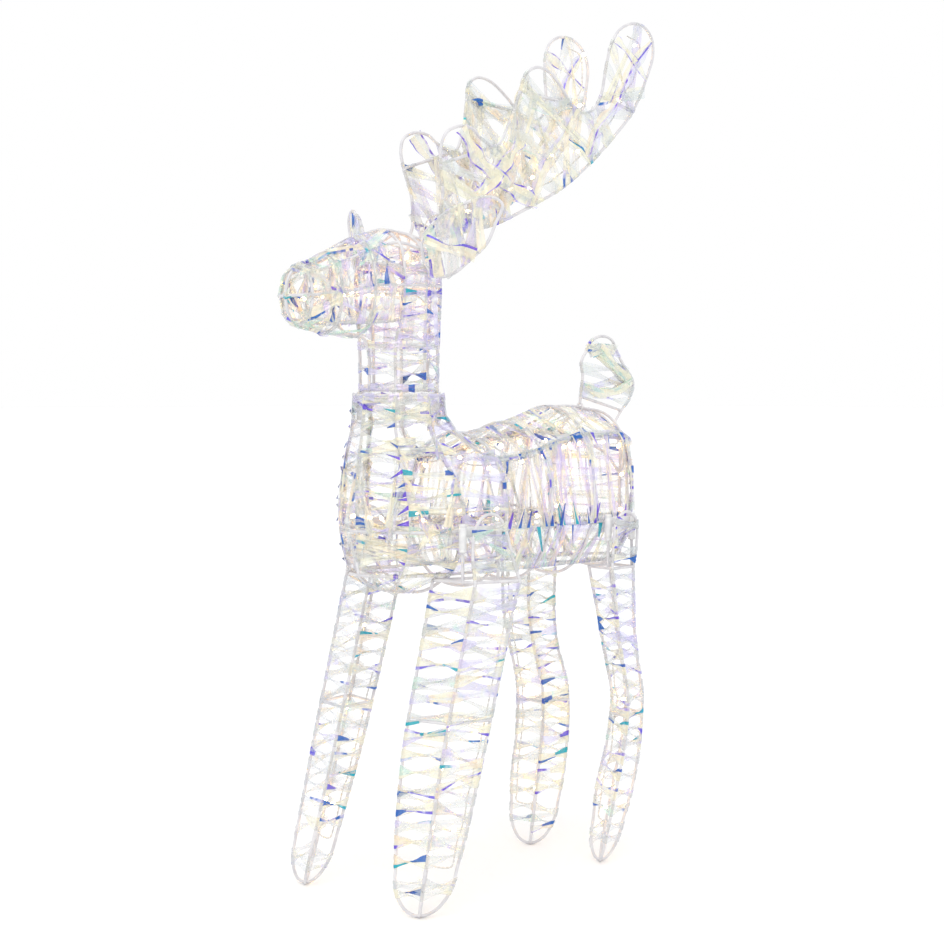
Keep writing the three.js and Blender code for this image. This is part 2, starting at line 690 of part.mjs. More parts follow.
// ---------- tail ----------
const TAIL_OUTLINE = [[228, 666], [231, 684], [234, 707], [231, 727], [242, 744], [252, 758],
  [273, 766], [297, 761], [309, 742], [330, 716], [345, 697], [337, 674], [318, 654], [302, 635]];
const TAIL_EYES = [[228, 660.5], [298, 629.5]];
const TAIL_CUTS = [[232, 692, 342, 688], [233, 714, 334, 711], [236, 734, 315, 734], [250, 755, 301, 752]];
const EYE_R = 5.6;
const EYE_WIRE_R = 1.6;

// ring that goes loosely round the ridge wire, square to it
function eye([y, z], slope) {
  const g = new THREE.TorusGeometry(EYE_R, EYE_WIRE_R, 5, 10);
  const along = V(0, 1, slope).normalize();
  g.applyQuaternion(new THREE.Quaternion().setFromUnitVectors(V(0, 0, 1), along));
  g.translate(0, y, z);
  return g;
}

const onTail = ([y, z]) => V(0, y, z);

function tailFrame() {
  const foot = bar([onTail([231, 676]), onTail([314, 656])]);
  return join([bar(TAIL_OUTLINE.map(onTail)), foot, eye(TAIL_EYES[0], -0.12), eye(TAIL_EYES[1], -0.7)]);
}

function tailFilm() {
  const edge = TAIL_OUTLINE.map(onTail);
  const from = TAIL_CUTS.map(([y, z]) => onTail([y, z]));
  const to = TAIL_CUTS.map(([, , y, z]) => onTail([y, z]));
  return flatWinding(edge, edge, from, to, V(1, 0, 0), 12);
}

// ---------- legs ----------
// Each leg is two hairpins that cross at the foot; the wide one stands on one diagonal of the plan
// and the narrow one on the other. Tables run down from the top: [level, value].
const LEG_TOP_Z = 431;
const LEG_SLEEVE_LOW = 470; // each prong bends off just under its sleeve, which stops the leg there
const LEG_LEVELS = [LEG_TOP_Z, 350, 300, 235, 170, 110, 60];
const FOOT_AXIS_Z = 1.3; // the wire's underside is ground flat on the floor
const FRONT_LEG = {
  x: [[LEG_TOP_Z, 105], [235, 107], [0, 119]],
  y: [[LEG_TOP_Z, -82], [350, -104], [235, -136], [0, -197]],
  wide: [[LEG_TOP_Z, 58], [350, 56], [235, 54], [110, 46], [60, 40]],
  narrow: [[LEG_TOP_Z, 38], [350, 37], [235, 35], [60, 28]],
  wideWay: V(Math.SQRT1_2, Math.SQRT1_2, 0),
  narrowWay: V(Math.SQRT1_2, -Math.SQRT1_2, 0),
  rings: [250],
  prongX: 112,
  prongY: [-113, -48],
  archX: 125,
  archTop: 520,
};
const REAR_LEG = {
  x: [[LEG_TOP_Z, 84], [350, 90], [300, 90], [235, 87], [110, 79], [0, 72]],
  y: [[LEG_TOP_Z, 206], [350, 212], [300, 222], [235, 238], [170, 234], [110, 221], [0, 197]],
  wide: [[LEG_TOP_Z, 40], [350, 38], [300, 36], [235, 38], [110, 39], [60, 35]],
  narrow: [[LEG_TOP_Z, 32], [350, 25], [300, 23], [235, 22], [110, 26], [60, 22]],
  wideWay: V(Math.SQRT1_2, -Math.SQRT1_2, 0),
  narrowWay: V(Math.SQRT1_2, Math.SQRT1_2, 0),
  rings: [215],
  prongX: 103,
  prongY: [179, 229],
  archX: 116,
  archTop: 512,
};

const legMiddle = (leg, z) => V(follow(leg.x, z), follow(leg.y, z), z);

// one hairpin: down one side, round the foot, up the other side
function hairpin(leg, spread, way) {
  const footR = follow(spread, 60);
  const side = (sign) => LEG_LEVELS.map((z) => legMiddle(leg, z)
    .addScaledVector(way, sign * follow(spread, z)));
  const round = [15, 40, 65, 90, 115, 140, 165].map((degrees) => {
    const t = THREE.MathUtils.degToRad(degrees);
    const z = FOOT_AXIS_Z + (60 - FOOT_AXIS_Z) * (1 - Math.sin(t));
    return legMiddle(leg, z).addScaledVector(way, footR * Math.cos(t));
  });
  return bar([...side(1), ...round, ...side(-1).reverse()]);
}

function legCorners(leg, z) {
  const corner = (spread, way, sign) => legMiddle(leg, z).addScaledVector(way, sign * follow(spread, z));
  return [
    corner(leg.wide, leg.wideWay, 1), corner(leg.narrow, leg.narrowWay, 1),
    corner(leg.wide, leg.wideWay, -1), corner(leg.narrow, leg.narrowWay, -1),
  ];
}

const legRing = (leg, z) => loop(legCorners(leg, z));

// where the leg's top ring crosses the plane of the prongs, on the front or the rear side
function topRingAt(leg, rear) {
  const corners = legCorners(leg, LEG_TOP_Z);
  const hits = corners.flatMap((p, i) => {
    const q = corners[(i + 1) % 4];
    const t = (leg.prongX - p.x) / (q.x - p.x);
    return t > 0 && t < 1 ? [p.clone().lerp(q, t)] : [];
  });
  hits.sort((a, b) => a.y - b.y);
  return hits[rear ? hits.length - 1 : 0];
}

// arched wire that stands on the leg's two outer corners, outside the body
function legArch(leg) {
  const outer = legCorners(leg, LEG_TOP_Z).filter((p) => p.x > leg.prongX - 8);
  const [a, b] = [outer[0], outer[outer.length - 1]];
  const at = (share, z) => V(leg.archX, lerp(a.y, b.y, share), z);
  return bar([a, V(lerp(a.x, leg.archX, 0.7), a.y, 465), at(0.08, 498), at(0.28, leg.archTop - 4),
    at(0.5, leg.archTop), at(0.72, leg.archTop - 4), at(0.92, 498), V(lerp(b.x, leg.archX, 0.7), b.y, 465),
    b]);
}

function legFrame(leg) {
  const list = [hairpin(leg, leg.wide, leg.wideWay), hairpin(leg, leg.narrow, leg.narrowWay)];
  for (const z of [LEG_TOP_Z, ...leg.rings]) list.push(legRing(leg, z));
  leg.prongY.forEach((y, i) => {
    list.push(bar([topRingAt(leg, i === 1), V(leg.prongX, y, LEG_SLEEVE_LOW - 1), V(leg.prongX, y, 500)], PRONG_R));
  });
  list.push(legArch(leg));
  const ground = new THREE.BoxGeometry(900, 900, 20);
  ground.translate(0, 0, -10);
  return cut(join(list), [ground]);
}

function legFilm(leg) {
  const corners = (z) => {
    const slant = Math.atan2(follow(leg.narrow, z), follow(leg.wide, z));
    const lift = [(LIFT + 0.2) / Math.sin(slant), (LIFT + 0.2) / Math.cos(slant)];
    return legCorners(leg, z).map((p, i) => {
      const out = p.clone().sub(legMiddle(leg, z)).normalize();
      const side = legCorners(leg, z + 6)[i].sub(legCorners(leg, z - 6)[i]).normalize();
      return { at: p.addScaledVector(out, lift[i % 2]), out, side };
    });
  };
  return windRound(corners, LEG_TOP_Z - 15, 68, 27);
}

function legString(leg) {
  const inside = (z, way, spread, sign) => legMiddle(leg, z)
    .addScaledVector(way, sign * (follow(spread, z) - 8));
  const down = [412, 350, 300, 235, 170, 110, 64].map((z) => inside(z, leg.wideWay, leg.wide, 1));
  const up = [64, 110, 170, 235, 290].map((z) => inside(z, leg.narrowWay, leg.narrow, -1));
  return lightString([...down, ...up], [1, 3, 5, 8, 10], (at) => legMiddle(leg, at.z).sub(at).setZ(0));
}

// ---------- assembly ----------
const wirePiece = (name, geometry) => piece(name, geometry, 0xe9e7e4, 0.45);
const filmPiece = (name, geometry) => piece(name, geometry, 0xdcd8ea, 0.1);
const lightPiece = (name, geometry) => piece(name, geometry, 0xfff0cf, 0.25);
const sleevePiece = (name, geometry) => piece(name, geometry, 0xdcdad6, 0.35);

const object = new THREE.Group();

// a piece on the deer's left side and its mirror image on the right
function pair(make, name, geometry) {
  object.add(make(`${name}_left`, geometry));
  const right = make(`${name}_right`, geometry);
  right.scale.x = -1;
  object.add(right);
}

object.add(wirePiece('body_frame', bodyFrame()));
object.add(filmPiece('back_film', backFilm()));
object.add(filmPiece('chest_film', chestFilm()));
object.add(filmPiece('rump_film', rumpFilm()));
pair(filmPiece, 'side_film', sideFilm());
pair(lightPiece, 'body_lights', bodyString());
const sleeveXY = UPPER_NECK_R * Math.SQRT1_2;
for (const [end, y] of [['front', NECK_Y - sleeveXY], ['rear', NECK_Y + sleeveXY]]) {
  pair(sleevePiece, `neck_sleeve_${end}`, sleeve(sleeveXY, y, JOINT_Z - 36, JOINT_Z + HEAD_LIFT - GAP));
}
for (const [end, leg] of [['front', FRONT_LEG], ['rear', REAR_LEG]]) {
  pair(sleevePiece, `${end}_leg_socket`, socketPair(leg.prongX, leg.prongY, LEG_SLEEVE_LOW, 508, 490, 504));
}

object.add(wirePiece('head_frame', headFrame()));
object.add(filmPiece('muzzle_film', muzzleFilm()));
object.add(filmPiece('crown_film', crownFilm()));
object.add(filmPiece('upper_neck_film', upperNeckFilm()));
object.add(lightPiece('head_lights', headString()));
pair(wirePiece, 'ear_frame', join([loop(earOutline().slice(0, -1))]));
pair(filmPiece, 'ear_film', earFilm());
pair(sleevePiece, 'antler_socket', socketPair(ANTLER_X, ANTLER_PRONGS, 845, 874, 856, 868));

pair(wirePiece, 'antler_frame', antlerFrame());
pair(filmPiece, 'antler_film', antlerFilm());
pair(lightPiece, 'antler_lights', antlerString());

object.add(wirePiece('tail_frame', tailFrame()));
object.add(filmPiece('tail_film', tailFilm()));

for (const [end, leg] of [['front', FRONT_LEG], ['rear', REAR_LEG]]) {
  pair(wirePiece, `${end}_leg_frame`, legFrame(leg));
  pair(filmPiece, `${end}_leg_film`, legFilm(leg));
  pair(lightPiece, `${end}_leg_lights`, legString(leg));
}

object.position.y = CENTRE_Y;

export default object;
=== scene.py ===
# Light up yard reindeer: smooth white coated wires, crumpled clear iridescent ribbon wound from wire
# to wire, and warm white light strings, each built over the CAD part that it stands for.
import bpy
import math
import random
from mathutils import Matrix, Vector, noise
from mathutils.kdtree import KDTree


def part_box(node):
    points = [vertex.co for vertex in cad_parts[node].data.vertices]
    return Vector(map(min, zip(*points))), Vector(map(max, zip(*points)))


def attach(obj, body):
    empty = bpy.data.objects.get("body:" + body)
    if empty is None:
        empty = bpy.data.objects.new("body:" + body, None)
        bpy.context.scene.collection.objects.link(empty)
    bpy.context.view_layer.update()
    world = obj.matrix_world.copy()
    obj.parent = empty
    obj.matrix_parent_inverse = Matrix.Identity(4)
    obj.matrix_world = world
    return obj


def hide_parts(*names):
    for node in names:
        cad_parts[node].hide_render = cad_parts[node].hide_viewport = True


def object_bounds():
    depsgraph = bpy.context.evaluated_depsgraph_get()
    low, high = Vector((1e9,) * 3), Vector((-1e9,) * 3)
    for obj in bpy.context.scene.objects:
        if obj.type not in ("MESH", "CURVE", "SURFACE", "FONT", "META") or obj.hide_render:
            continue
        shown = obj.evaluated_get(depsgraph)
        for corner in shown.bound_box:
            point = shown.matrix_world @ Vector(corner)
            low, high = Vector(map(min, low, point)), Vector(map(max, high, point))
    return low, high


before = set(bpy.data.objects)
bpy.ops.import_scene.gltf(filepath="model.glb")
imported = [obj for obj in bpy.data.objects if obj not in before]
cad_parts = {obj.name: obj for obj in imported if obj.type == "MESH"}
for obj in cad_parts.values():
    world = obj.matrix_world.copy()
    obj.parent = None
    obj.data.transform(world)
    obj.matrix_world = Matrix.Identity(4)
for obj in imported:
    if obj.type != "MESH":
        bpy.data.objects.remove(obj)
cad_low, cad_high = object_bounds()

# ---------- driving dimensions, mm, the same as the CAD's ----------
MM = 0.001
WIRE_R = 2.2
LEAD_R = 0.62  # one conductor of the twisted pair
SLEEVE_OUT = 5.2
SLEEVE_IN = 3.1
RUMP_Y = 316
HALF_WIDTH = 100
REAR_HALF_WIDTH = 92
SHOULDER_Y = -20  # the first hoop, from which the barrel narrows
CHEST_JOIN_Y = -100  # forward of this the plan is the chest's half ellipse
CHEST_REACH = 101
RUMP_JOIN_Y = 205  # behind this the plan is the rump's half ellipse
RUMP_REACH = 111
BREAST_Z = 530  # where the chest is widest
BARREL_MIDDLE_Z = 540
RING_Z = 497
LOW_Z = 438
NECK_Y = -127
NECK_TOP_Z = 677.8
LOWER_NECK_R = 60
UPPER_NECK_R = 52
HEAD_RING_Z = 685.2
SEAM = 49  # degrees round the barrel, from the ridge to the wire on either side of the back
TAIL_Y = 214  # where the tail begins on the back
ROUNDNESS = 2.2  # 2 would make the sections ellipses; more makes them squarer
# the tables below have the rump's wire at RUMP_Y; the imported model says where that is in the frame
SHIFT_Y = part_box("body_frame")[1].y / MM - (RUMP_Y + WIRE_R)


# ---------- small helpers ----------
def vec(x, y, z):
    return Vector((x, y, z))


def mix(a, b, t):
    return a + (b - a) * t


def smooth(t):
    t = min(max(t, 0.0), 1.0)
    return t * t * (3 - 2 * t)


def polar(radius, degrees):
    """Point of a plan circle; 0 degrees is straight ahead (-Y), 90 is the deer's left (+X)."""
    a = math.radians(degrees)
    return vec(radius * math.sin(a), -radius * math.cos(a), 0)


def flip(p):
    return vec(-p.x, p.y, p.z)


def sided(p, side):
    """The point or direction itself on the left (side 1), mirrored on the right (side -1)."""
    return flip(p) if side < 0 else p


def heading(path, t, reach=3):
    """Direction of path(t) where t grows."""
    return (path(t + reach) - path(t - reach)).normalized()


def follow(pairs, key):
    """Smooth interpolation in a list of (key, value) pairs, with no overshoot."""
    rows = sorted(pairs)
    if key <= rows[0][0]:
        return rows[0][1]
    if key >= rows[-1][0]:
        return rows[-1][1]
    slopes = [(b[1] - a[1]) / (b[0] - a[0]) for a, b in zip(rows, rows[1:])]
    i = max(n for n in range(len(rows) - 1) if rows[n][0] <= key)
    ends = []
    for n in (i, i + 1):
        before, after = slopes[max(n - 1, 0)], slopes[min(n, len(slopes) - 1)]
        ends.append(2 * before * after / (before + after) if before * after > 0 else 0.0)
    h = rows[i + 1][0] - rows[i][0]
    t = (key - rows[i][0]) / h
    a = (1 + 2 * t) * (1 - t) ** 2 * rows[i][1] + t * (1 - t) ** 2 * h * ends[0]
    return a + t * t * (3 - 2 * t) * rows[i + 1][1] - t * t * (1 - t) * h * ends[1]


def rounded(v):
    return math.copysign(abs(v) ** (2 / ROUNDNESS), v)


def curve(knots, closed=False, step=7.0):
    """Smooth run of points through knots, about a step apart."""
    knots = [k.copy() for k in knots]
    n = len(knots)
    out = []
    for i in range(n if closed else n - 1):
        b, c = knots[i], knots[(i + 1) % n]
        a = knots[i - 1] if closed or i > 0 else b + (b - c)
        d = knots[(i + 2) % n] if closed or i + 2 < n else c + (c - b)
        gap = [max((q - p).length, 1e-3) ** 0.5 for p, q in ((a, b), (b, c), (c, d))]
        t0, t1 = 0.0, gap[0]
        t2, t3 = t1 + gap[1], t1 + gap[1] + gap[2]
        count = max(int(math.ceil((c - b).length / step)), 1)
        for k in range(count):
            t = mix(t1, t2, k / count)
            p = [((t1 - t) * a + (t - t0) * b) / (t1 - t0), ((t2 - t) * b + (t - t1) * c) / (t2 - t1),
                 ((t3 - t) * c + (t - t2) * d) / (t3 - t2)]
            q = [((t2 - t) * p[0] + (t - t0) * p[1]) / (t2 - t0),
                 ((t3 - t) * p[1] + (t - t1) * p[2]) / (t3 - t1)]
            out.append(((t2 - t) * q[0] + (t - t1) * q[1]) / (t2 - t1))
    return out if closed else out + [knots[-1]]


class Shape:
    """Mesh being put together in mm, with a colour pair for each face."""

    def __init__(self):
        self.points = []
        self.faces = []
        self.tints = []
        self.undertints = []
        self.slots = []

    def face(self, corners, tint=(1, 1, 1, 1), under=(1, 1, 1, 1), slot=0):
        self.faces.append(corners)
        self.tints.append(tint)
        self.undertints.append(under)
        self.slots.append(slot)

    def make(self, name, body, replaced, materials, slot_name, soft=True):
        mesh = bpy.data.meshes.new(name)
        places = [(p.x * MM, (p.y + SHIFT_Y) * MM, p.z * MM) for p in self.points]
        mesh.from_pydata(places, [], self.faces)
        for label, values in (("tint", self.tints), ("undertint", self.undertints)):
            layer = mesh.color_attributes.new(label, "FLOAT_COLOR", "CORNER")
            flat = []
            for corners, value in zip(self.faces, values):
                flat.extend(list(value) * len(corners))
            layer.data.foreach_set("color", flat)
        for material in materials:
            mesh.materials.append(material)
        mesh.polygons.foreach_set("material_index", self.slots)
        mesh.polygons.foreach_set("use_smooth", [soft] * len(self.faces))
        mesh.update()
        obj = bpy.data.objects.new(name, mesh)
        bpy.context.scene.collection.objects.link(obj)
        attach(obj, body)
        if replaced:
            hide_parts(*replaced)
        return obj


def frames(points, closed):
    """A steady pair of side directions at each point of a path."""
    n = len(points)
    ways = []
    for i in range(n):
        a = points[i - 1] if closed or i > 0 else points[i]
        b = points[(i + 1) % n] if closed or i + 1 < n else points[i]
        ways.append((b - a).normalized())
    side = ways[0].orthogonal().normalized()
    out = []
    for way in ways:
        side = (side - way * side.dot(way)).normalized()
        out.append((side, way.cross(side)))
    if closed:
        last = (out[-1][0] - ways[0] * out[-1][0].dot(ways[0])).normalized()
        miss = math.atan2(last.dot(out[0][1]), last.dot(out[0][0]))
        fixed = []
        for i, (u, w) in enumerate(out):
            a = -miss * i / n
            fixed.append((u * math.cos(a) + w * math.sin(a), w * math.cos(a) - u * math.sin(a)))
        out = fixed
    return out


def tube(shape, points, radius, sides=9, closed=False, slot=0, ends=0.6):
    """Round bar through points, with softly rounded ends."""
    first = len(shape.points)
    sections = [(p, u, w, radius) for p, (u, w) in zip(points, frames(points, closed))]
    if not closed:
        for at, beyond in ((0, points[0] - points[1]), (-1, points[-1] - points[-2])):
            p, u, w, r = sections[at]
            tip = (p + beyond.normalized() * r * ends, u, w, r * 0.55)
            sections.insert(0, tip) if at == 0 else sections.append(tip)
    for p, u, w, r in sections:
        for k in range(sides):
            a = 2 * math.pi * k / sides
            shape.points.append(p + u * (r * math.cos(a)) + w * (r * math.sin(a)))
    count = len(sections)
    for i in range(count if closed else count - 1):
        for k in range(sides):
            a, b = i * sides + k, i * sides + (k + 1) % sides
            c, d = ((i + 1) % count) * sides + k, ((i + 1) % count) * sides + (k + 1) % sides
            shape.face([first + a, first + b, first + d, first + c], slot=slot)
    if not closed:
        shape.face([first + k for k in reversed(range(sides))], slot=slot)
        shape.face([first + (count - 1) * sides + k for k in range(sides)], slot=slot)


def turned(shape, at, axis, profile, sides=14, slot=0):
    """Solid turned about an axis from (distance along, radius) pairs."""
    side = axis.orthogonal().normalized()
    other = axis.cross(side)
    first = len(shape.points)
    for along, r in profile:
        for k in range(sides):
            a = 2 * math.pi * k / sides
            shape.points.append(at + axis * along + side * (r * math.cos(a)) + other * (r * math.sin(a)))
    for i in range(len(profile) - 1):
        for k in range(sides):
            a, b = first + i * sides + k, first + i * sides + (k + 1) % sides
            shape.face([a, b, b + sides, a + sides], slot=slot)
    if profile[0][1] > 1e-6:
        shape.face([first + k for k in reversed(range(sides))], slot=slot)
    last = first + (len(profile) - 1) * sides
    if profile[-1][1] > 1e-6:
        shape.face([last + k for k in range(sides)], slot=slot)


def blob(shape, at, radius):
    """Lumpy bead of weld."""
    rings, sides = 5, 8
    first = len(shape.points)
    for i in range(rings + 1):
        t = math.pi * i / rings
        for k in range(sides):
            a = 2 * math.pi * k / sides
            p = vec(math.sin(t) * math.cos(a), math.sin(t) * math.sin(a), math.cos(t))
            r = radius * (1 + 0.16 * noise.noise(p * 1.7 + at * 0.13))
            shape.points.append(at + p * r)
    for i in range(rings):
        for k in range(sides):
            a, b = first + i * sides + k, first + i * sides + (k + 1) % sides
            shape.face([a, a + sides, b + sides, b])


# ---------- the body's surface, as in the CAD ----------
TOP = [(-66, 640), (-48, 636), (-20, 625), (42, 632), (87, 644), (130, 656), (163, 661), (224, 661),
       (270, 650), (300, 628), (316, 600)]
BOTTOM = [(-201, 440), (-150, 416), (-100, 411), (84, 417), (166, 420), (250, 426), (316, 440)]
HOOPS = [SHOULDER_Y, 70, 160, 250]
CHEST_WIDE = [(680, 60), (640, 62), (600, 76), (565, 90), (530, 100)]
CHEST_DEEP = [(680, 60), (640, 64), (600, 78), (565, 94), (530, 101), (438, 97)]
CHEST_MIDDLE = [(680, -127), (640, -126), (600, -118), (565, -106), (530, -100)]
CHEST_LEVELS = [NECK_TOP_Z, 640, 600, 565, BREAST_Z, RING_Z, 465, LOW_Z]
KEEL = [vec(0, -180, 424), vec(0, -140, 413), vec(0, -104, 410)]
RIDGE_NECK = [vec(0, -67, NECK_TOP_Z), vec(0, -66, 655), vec(0, -58, 640)]
SEAM_NECK = [vec(42.4, NECK_Y + 42.4, NECK_TOP_Z), vec(43, -84, 655), vec(54, -72, 628)]


def half_width(y):
    full = mix(HALF_WIDTH, REAR_HALF_WIDTH, smooth((y - SHOULDER_Y) / (RUMP_JOIN_Y - SHOULDER_Y)))
    if y < CHEST_JOIN_Y:
        return full * math.sqrt(max(1 - ((y - CHEST_JOIN_Y) / CHEST_REACH) ** 2, 0))
    if y > RUMP_JOIN_Y:
        return full * math.sqrt(max(1 - ((y - RUMP_JOIN_Y) / RUMP_REACH) ** 2, 0))
    return full


def section(y):
    """Height of the middle of the barrel's section at y, and half its own height."""
    top, bottom = follow(TOP, max(y, SHOULDER_Y)), follow(BOTTOM, y)
    return (top + bottom) / 2, (top - bottom) / 2


def angle_at(y, z):
    """Degrees round the barrel from the ridge, for a level on its side."""
    middle, reach = section(y)
    c = min(max((z - middle) / reach, -1), 1)
    return math.degrees(math.acos(math.copysign(abs(c) ** (ROUNDNESS / 2), c)))


def width_share(y, z):
    return rounded(math.sin(math.radians(angle_at(y, z))))


def barrel_at(y, degrees):
    a = math.radians(degrees)
    middle, reach = section(y)
    return vec(half_width(y) * rounded(math.sin(a)), y, middle + reach * rounded(math.cos(a)))


def chest_at(z, degrees):
    share = 1
    if z < BREAST_Z:
        share = width_share(CHEST_JOIN_Y, z) / width_share(CHEST_JOIN_Y, BREAST_Z)
    a = math.radians(degrees)
    y = follow(CHEST_MIDDLE, z) - follow(CHEST_DEEP, z) * math.cos(a)
    return vec(follow(CHEST_WIDE, z) * share * math.sin(a), y, z)


def rump_at(z, degrees):
    a = math.radians(degrees)
    x = REAR_HALF_WIDTH * width_share(RUMP_JOIN_Y, z) * math.sin(a)
    return vec(x, RUMP_JOIN_Y + RUMP_REACH * math.cos(a), z)


# ---------- the head's surface, as in the CAD ----------
MUZZLE_HALF_W = [(-313, 20), (-300, 31), (-280, 34.5), (-250, 38), (-200, 46), (-160, 51)]
MUZZLE_HALF_H = [(-313, 25), (-300, 38), (-280, 44), (-250, 53), (-200, 65), (-160, 70)]
MUZZLE_MIDDLE = [(-313, 806), (-280, 808), (-250, 812), (-200, 822), (-160, 829)]
MUZZLE_KNOTS = [-313, -300, -280, -250, -200]
CROWN_R = [(685.2, 52), (745, 53), (824, 56), (850, 54), (872, 46), (886, 33), (897, 0)]
CROWN_LEVELS = [z for z, _ in CROWN_R]


def muzzle_at(y, degrees):
    a = math.radians(degrees)
    z = follow(MUZZLE_MIDDLE, y) + follow(MUZZLE_HALF_H, y) * rounded(math.cos(a))
    return vec(follow(MUZZLE_HALF_W, y) * rounded(math.sin(a)), y, z)


def crown_at(z, degrees):
    return polar(follow(CROWN_R, z), degrees) + vec(0, NECK_Y, z)


# ---------- wires ----------
def ring_round(z, radius):
    return curve([polar(radius, a) + vec(0, NECK_Y, z) for a in range(0, 360, 30)], closed=True)


def mirrored(points):
    return [flip(p) for p in points]


def both_halves(half):
    return half + mirrored(half[1:-1])[::-1]


def level_ring(z):
    half = [chest_at(z, a) for a in (0, 22.5, 45, 67.5, 90)]
    half += [vec(half_width(y) * width_share(y, z), y, z) for y in (SHOULDER_Y, 50, 130)]
    half += [rump_at(z, a) for a in (90, 67.5, 45, 22.5, 0)]
    return curve(both_halves(half), closed=True)


def body_wires():
    """(points, closed) of each wire of the body cage."""
    list_of = [(level_ring(RING_Z), True), (level_ring(LOW_Z), True)]
    front = [chest_at(z, 0) for z in CHEST_LEVELS] + KEEL
    list_of.append((curve(front), False))
    ridge = RIDGE_NECK + [vec(0, y, z) for y, z in TOP[2:-1]]
    ridge += [rump_at(z, 0) for z in (600, 560, 530, RING_Z, 465, LOW_Z)]
    ridge += [vec(0, 296, 428), vec(0, 250, 426)]
    list_of.append((curve(ridge), False))
    seam = SEAM_NECK + [barrel_at(y, SEAM) for y in (SHOULDER_Y, 42, 87, 130, 163, 224, 270)]
    seam += [vec(24, 306, 592), vec(0, RUMP_Y, 560)]
    for run in (seam, mirrored(seam)):
        list_of.append((curve(run), False))
    for a in (-90, -45, 45, 90):
        list_of.append((curve([chest_at(z, a) for z in CHEST_LEVELS]), False))
    for y in HOOPS:
        list_of.append((curve([barrel_at(y, a) for a in range(0, 360, 15)], closed=True), True))
    low = chest_at(LOW_Z, 90).x
    under = [vec(low, CHEST_JOIN_Y, LOW_Z), vec(34, CHEST_JOIN_Y, 417), vec(0, CHEST_JOIN_Y, 409)]
    list_of.append((curve(under + mirrored(under[:-1])[::-1]), False))
    list_of.append((ring_round(NECK_TOP_Z, LOWER_NECK_R), True))
    return list_of


def throat_knots():
    """The wire from the neck up each cheek, as far as the crown."""
    return [crown_at(HEAD_RING_Z, 45), crown_at(745, 45), vec(47, -160, 785), vec(51, -160, 826),
            vec(42, -160, 876)]


def head_wires():
    list_of = []
    middle = [crown_at(HEAD_RING_Z, 0), crown_at(735, 0), vec(0, -187, 752), vec(0, -200, 757)]
    middle += [muzzle_at(y, 180) for y in MUZZLE_KNOTS[::-1][1:]] + [vec(0, -317, 792), vec(0, -317, 820)]
    middle += [muzzle_at(y, 0) for y in MUZZLE_KNOTS] + [vec(0, -160, 899)]
    middle += [crown_at(z, 180) for z in CROWN_LEVELS[::-1]]
    list_of.append((curve(middle), False))
    half = [vec(0, -317, 806)] + [muzzle_at(y, 90) for y in MUZZLE_KNOTS]
    half += [vec(51, -160, 824)] + [crown_at(824, a) for a in (90, 135, 180)]
    list_of.append((curve(both_halves(half), closed=True), True))
    for a in (90, 135):
        up = [crown_at(z, a) for z in CROWN_LEVELS]
        list_of.append((curve(up + mirrored(up[:-1])[::-1]), False))
    throat = throat_knots() + [vec(0, -160, 899)]
    list_of.append((curve(throat + mirrored(throat[:-1])[::-1]), False))
    for sign in (1, -1):
        upper = [muzzle_at(y, 45) for y in MUZZLE_KNOTS[1:] + [-160]] + [crown_at(872, 90)]
        lower = [muzzle_at(y, 135) for y in MUZZLE_KNOTS[1:] + [-160]]
        for run in (upper, lower):
            list_of.append((curve([sided(p, sign) for p in run]), False))
    for y in (-300, -256, -206):
        list_of.append((curve([muzzle_at(y, a) for a in range(0, 360, 30)], closed=True), True))
    for z in (HEAD_RING_Z, 745, 850):
        list_of.append((ring_round(z, follow(CROWN_R, z)), True))
    for a in (45, 135, 225, 315):
        foot = crown_at(HEAD_RING_Z, a)
        list_of.append(([foot, vec(foot.x, foot.y, 668), vec(foot.x, foot.y, 649)], False))
    return list_of


EAR_ROOT = vec(60.5, -136, 0)
EAR_WAY = vec(0.88, 0.475, 0)
EAR_FACE = vec(0.475, -0.88, 0)
EAR_OUTLINE = [(0, 858), (0, 888), (17, 908), (38, 922), (58, 930), (78, 936), (98, 936), (110, 926),
               (101, 904), (88, 876), (69, 859), (39, 837), (18, 836)]
ANTLER_X = 22
ANTLER_LEAN = 0.15
ANTLER_BASE_Z = 885
ANTLER_PRONGS = (-90.4, -73.8)
ANTLER_FRONT = [(-88, 893), (-79, 910), (-75, 948), (-84, 990), (-87, 1010), (-80, 1031), (-62, 1041),
                (-47, 1043), (-30, 1040), (-16, 1030), (15, 1022), (38, 1060), (50, 1100), (58, 1124),
                (77, 1135), (103, 1131), (131, 1112), (154, 1092), (184, 1083), (200, 1090), (212, 1110),
                (216, 1146), (221, 1180), (234, 1204), (258, 1217), (284, 1217)]
ANTLER_REAR = [(306, 1202), (313, 1179), (304, 1143), (283, 1095), (251, 1058), (200, 1010), (149, 973),
               (100, 948), (50, 925), (16, 913), (-20, 905), (-48, 897), (-71, 890)]
ANTLER_TIES = [((-84, 990), (15, 1022)), ((50, 1100), (154, 1092)), ((212, 1110), (283, 1095))]
TAIL_OUTLINE = [(228, 666), (231, 684), (234, 707), (231, 727), (242, 744), (252, 758), (273, 766),
                (297, 761), (309, 742), (330, 716), (345, 697), (337, 674), (318, 654), (302, 635)]
TAIL_EYES = [((228, 660.5), -0.12), ((298, 629.5), -0.7)]  # place, and slope of the ridge there
EYE_R = 5.6
EYE_WIRE_R = 1.6


def on_ear(s, z):
    return vec(EAR_ROOT.x, EAR_ROOT.y, z) + EAR_WAY * s


def on_antler(y, z):
    return vec(ANTLER_X + ANTLER_LEAN * (z - ANTLER_BASE_Z), y, z)


def on_tail(y, z):
    return vec(0, y, z)


def ear_wires():
    return [(curve([on_ear(s, z) for s, z in EAR_OUTLINE], closed=True, step=4), True)]


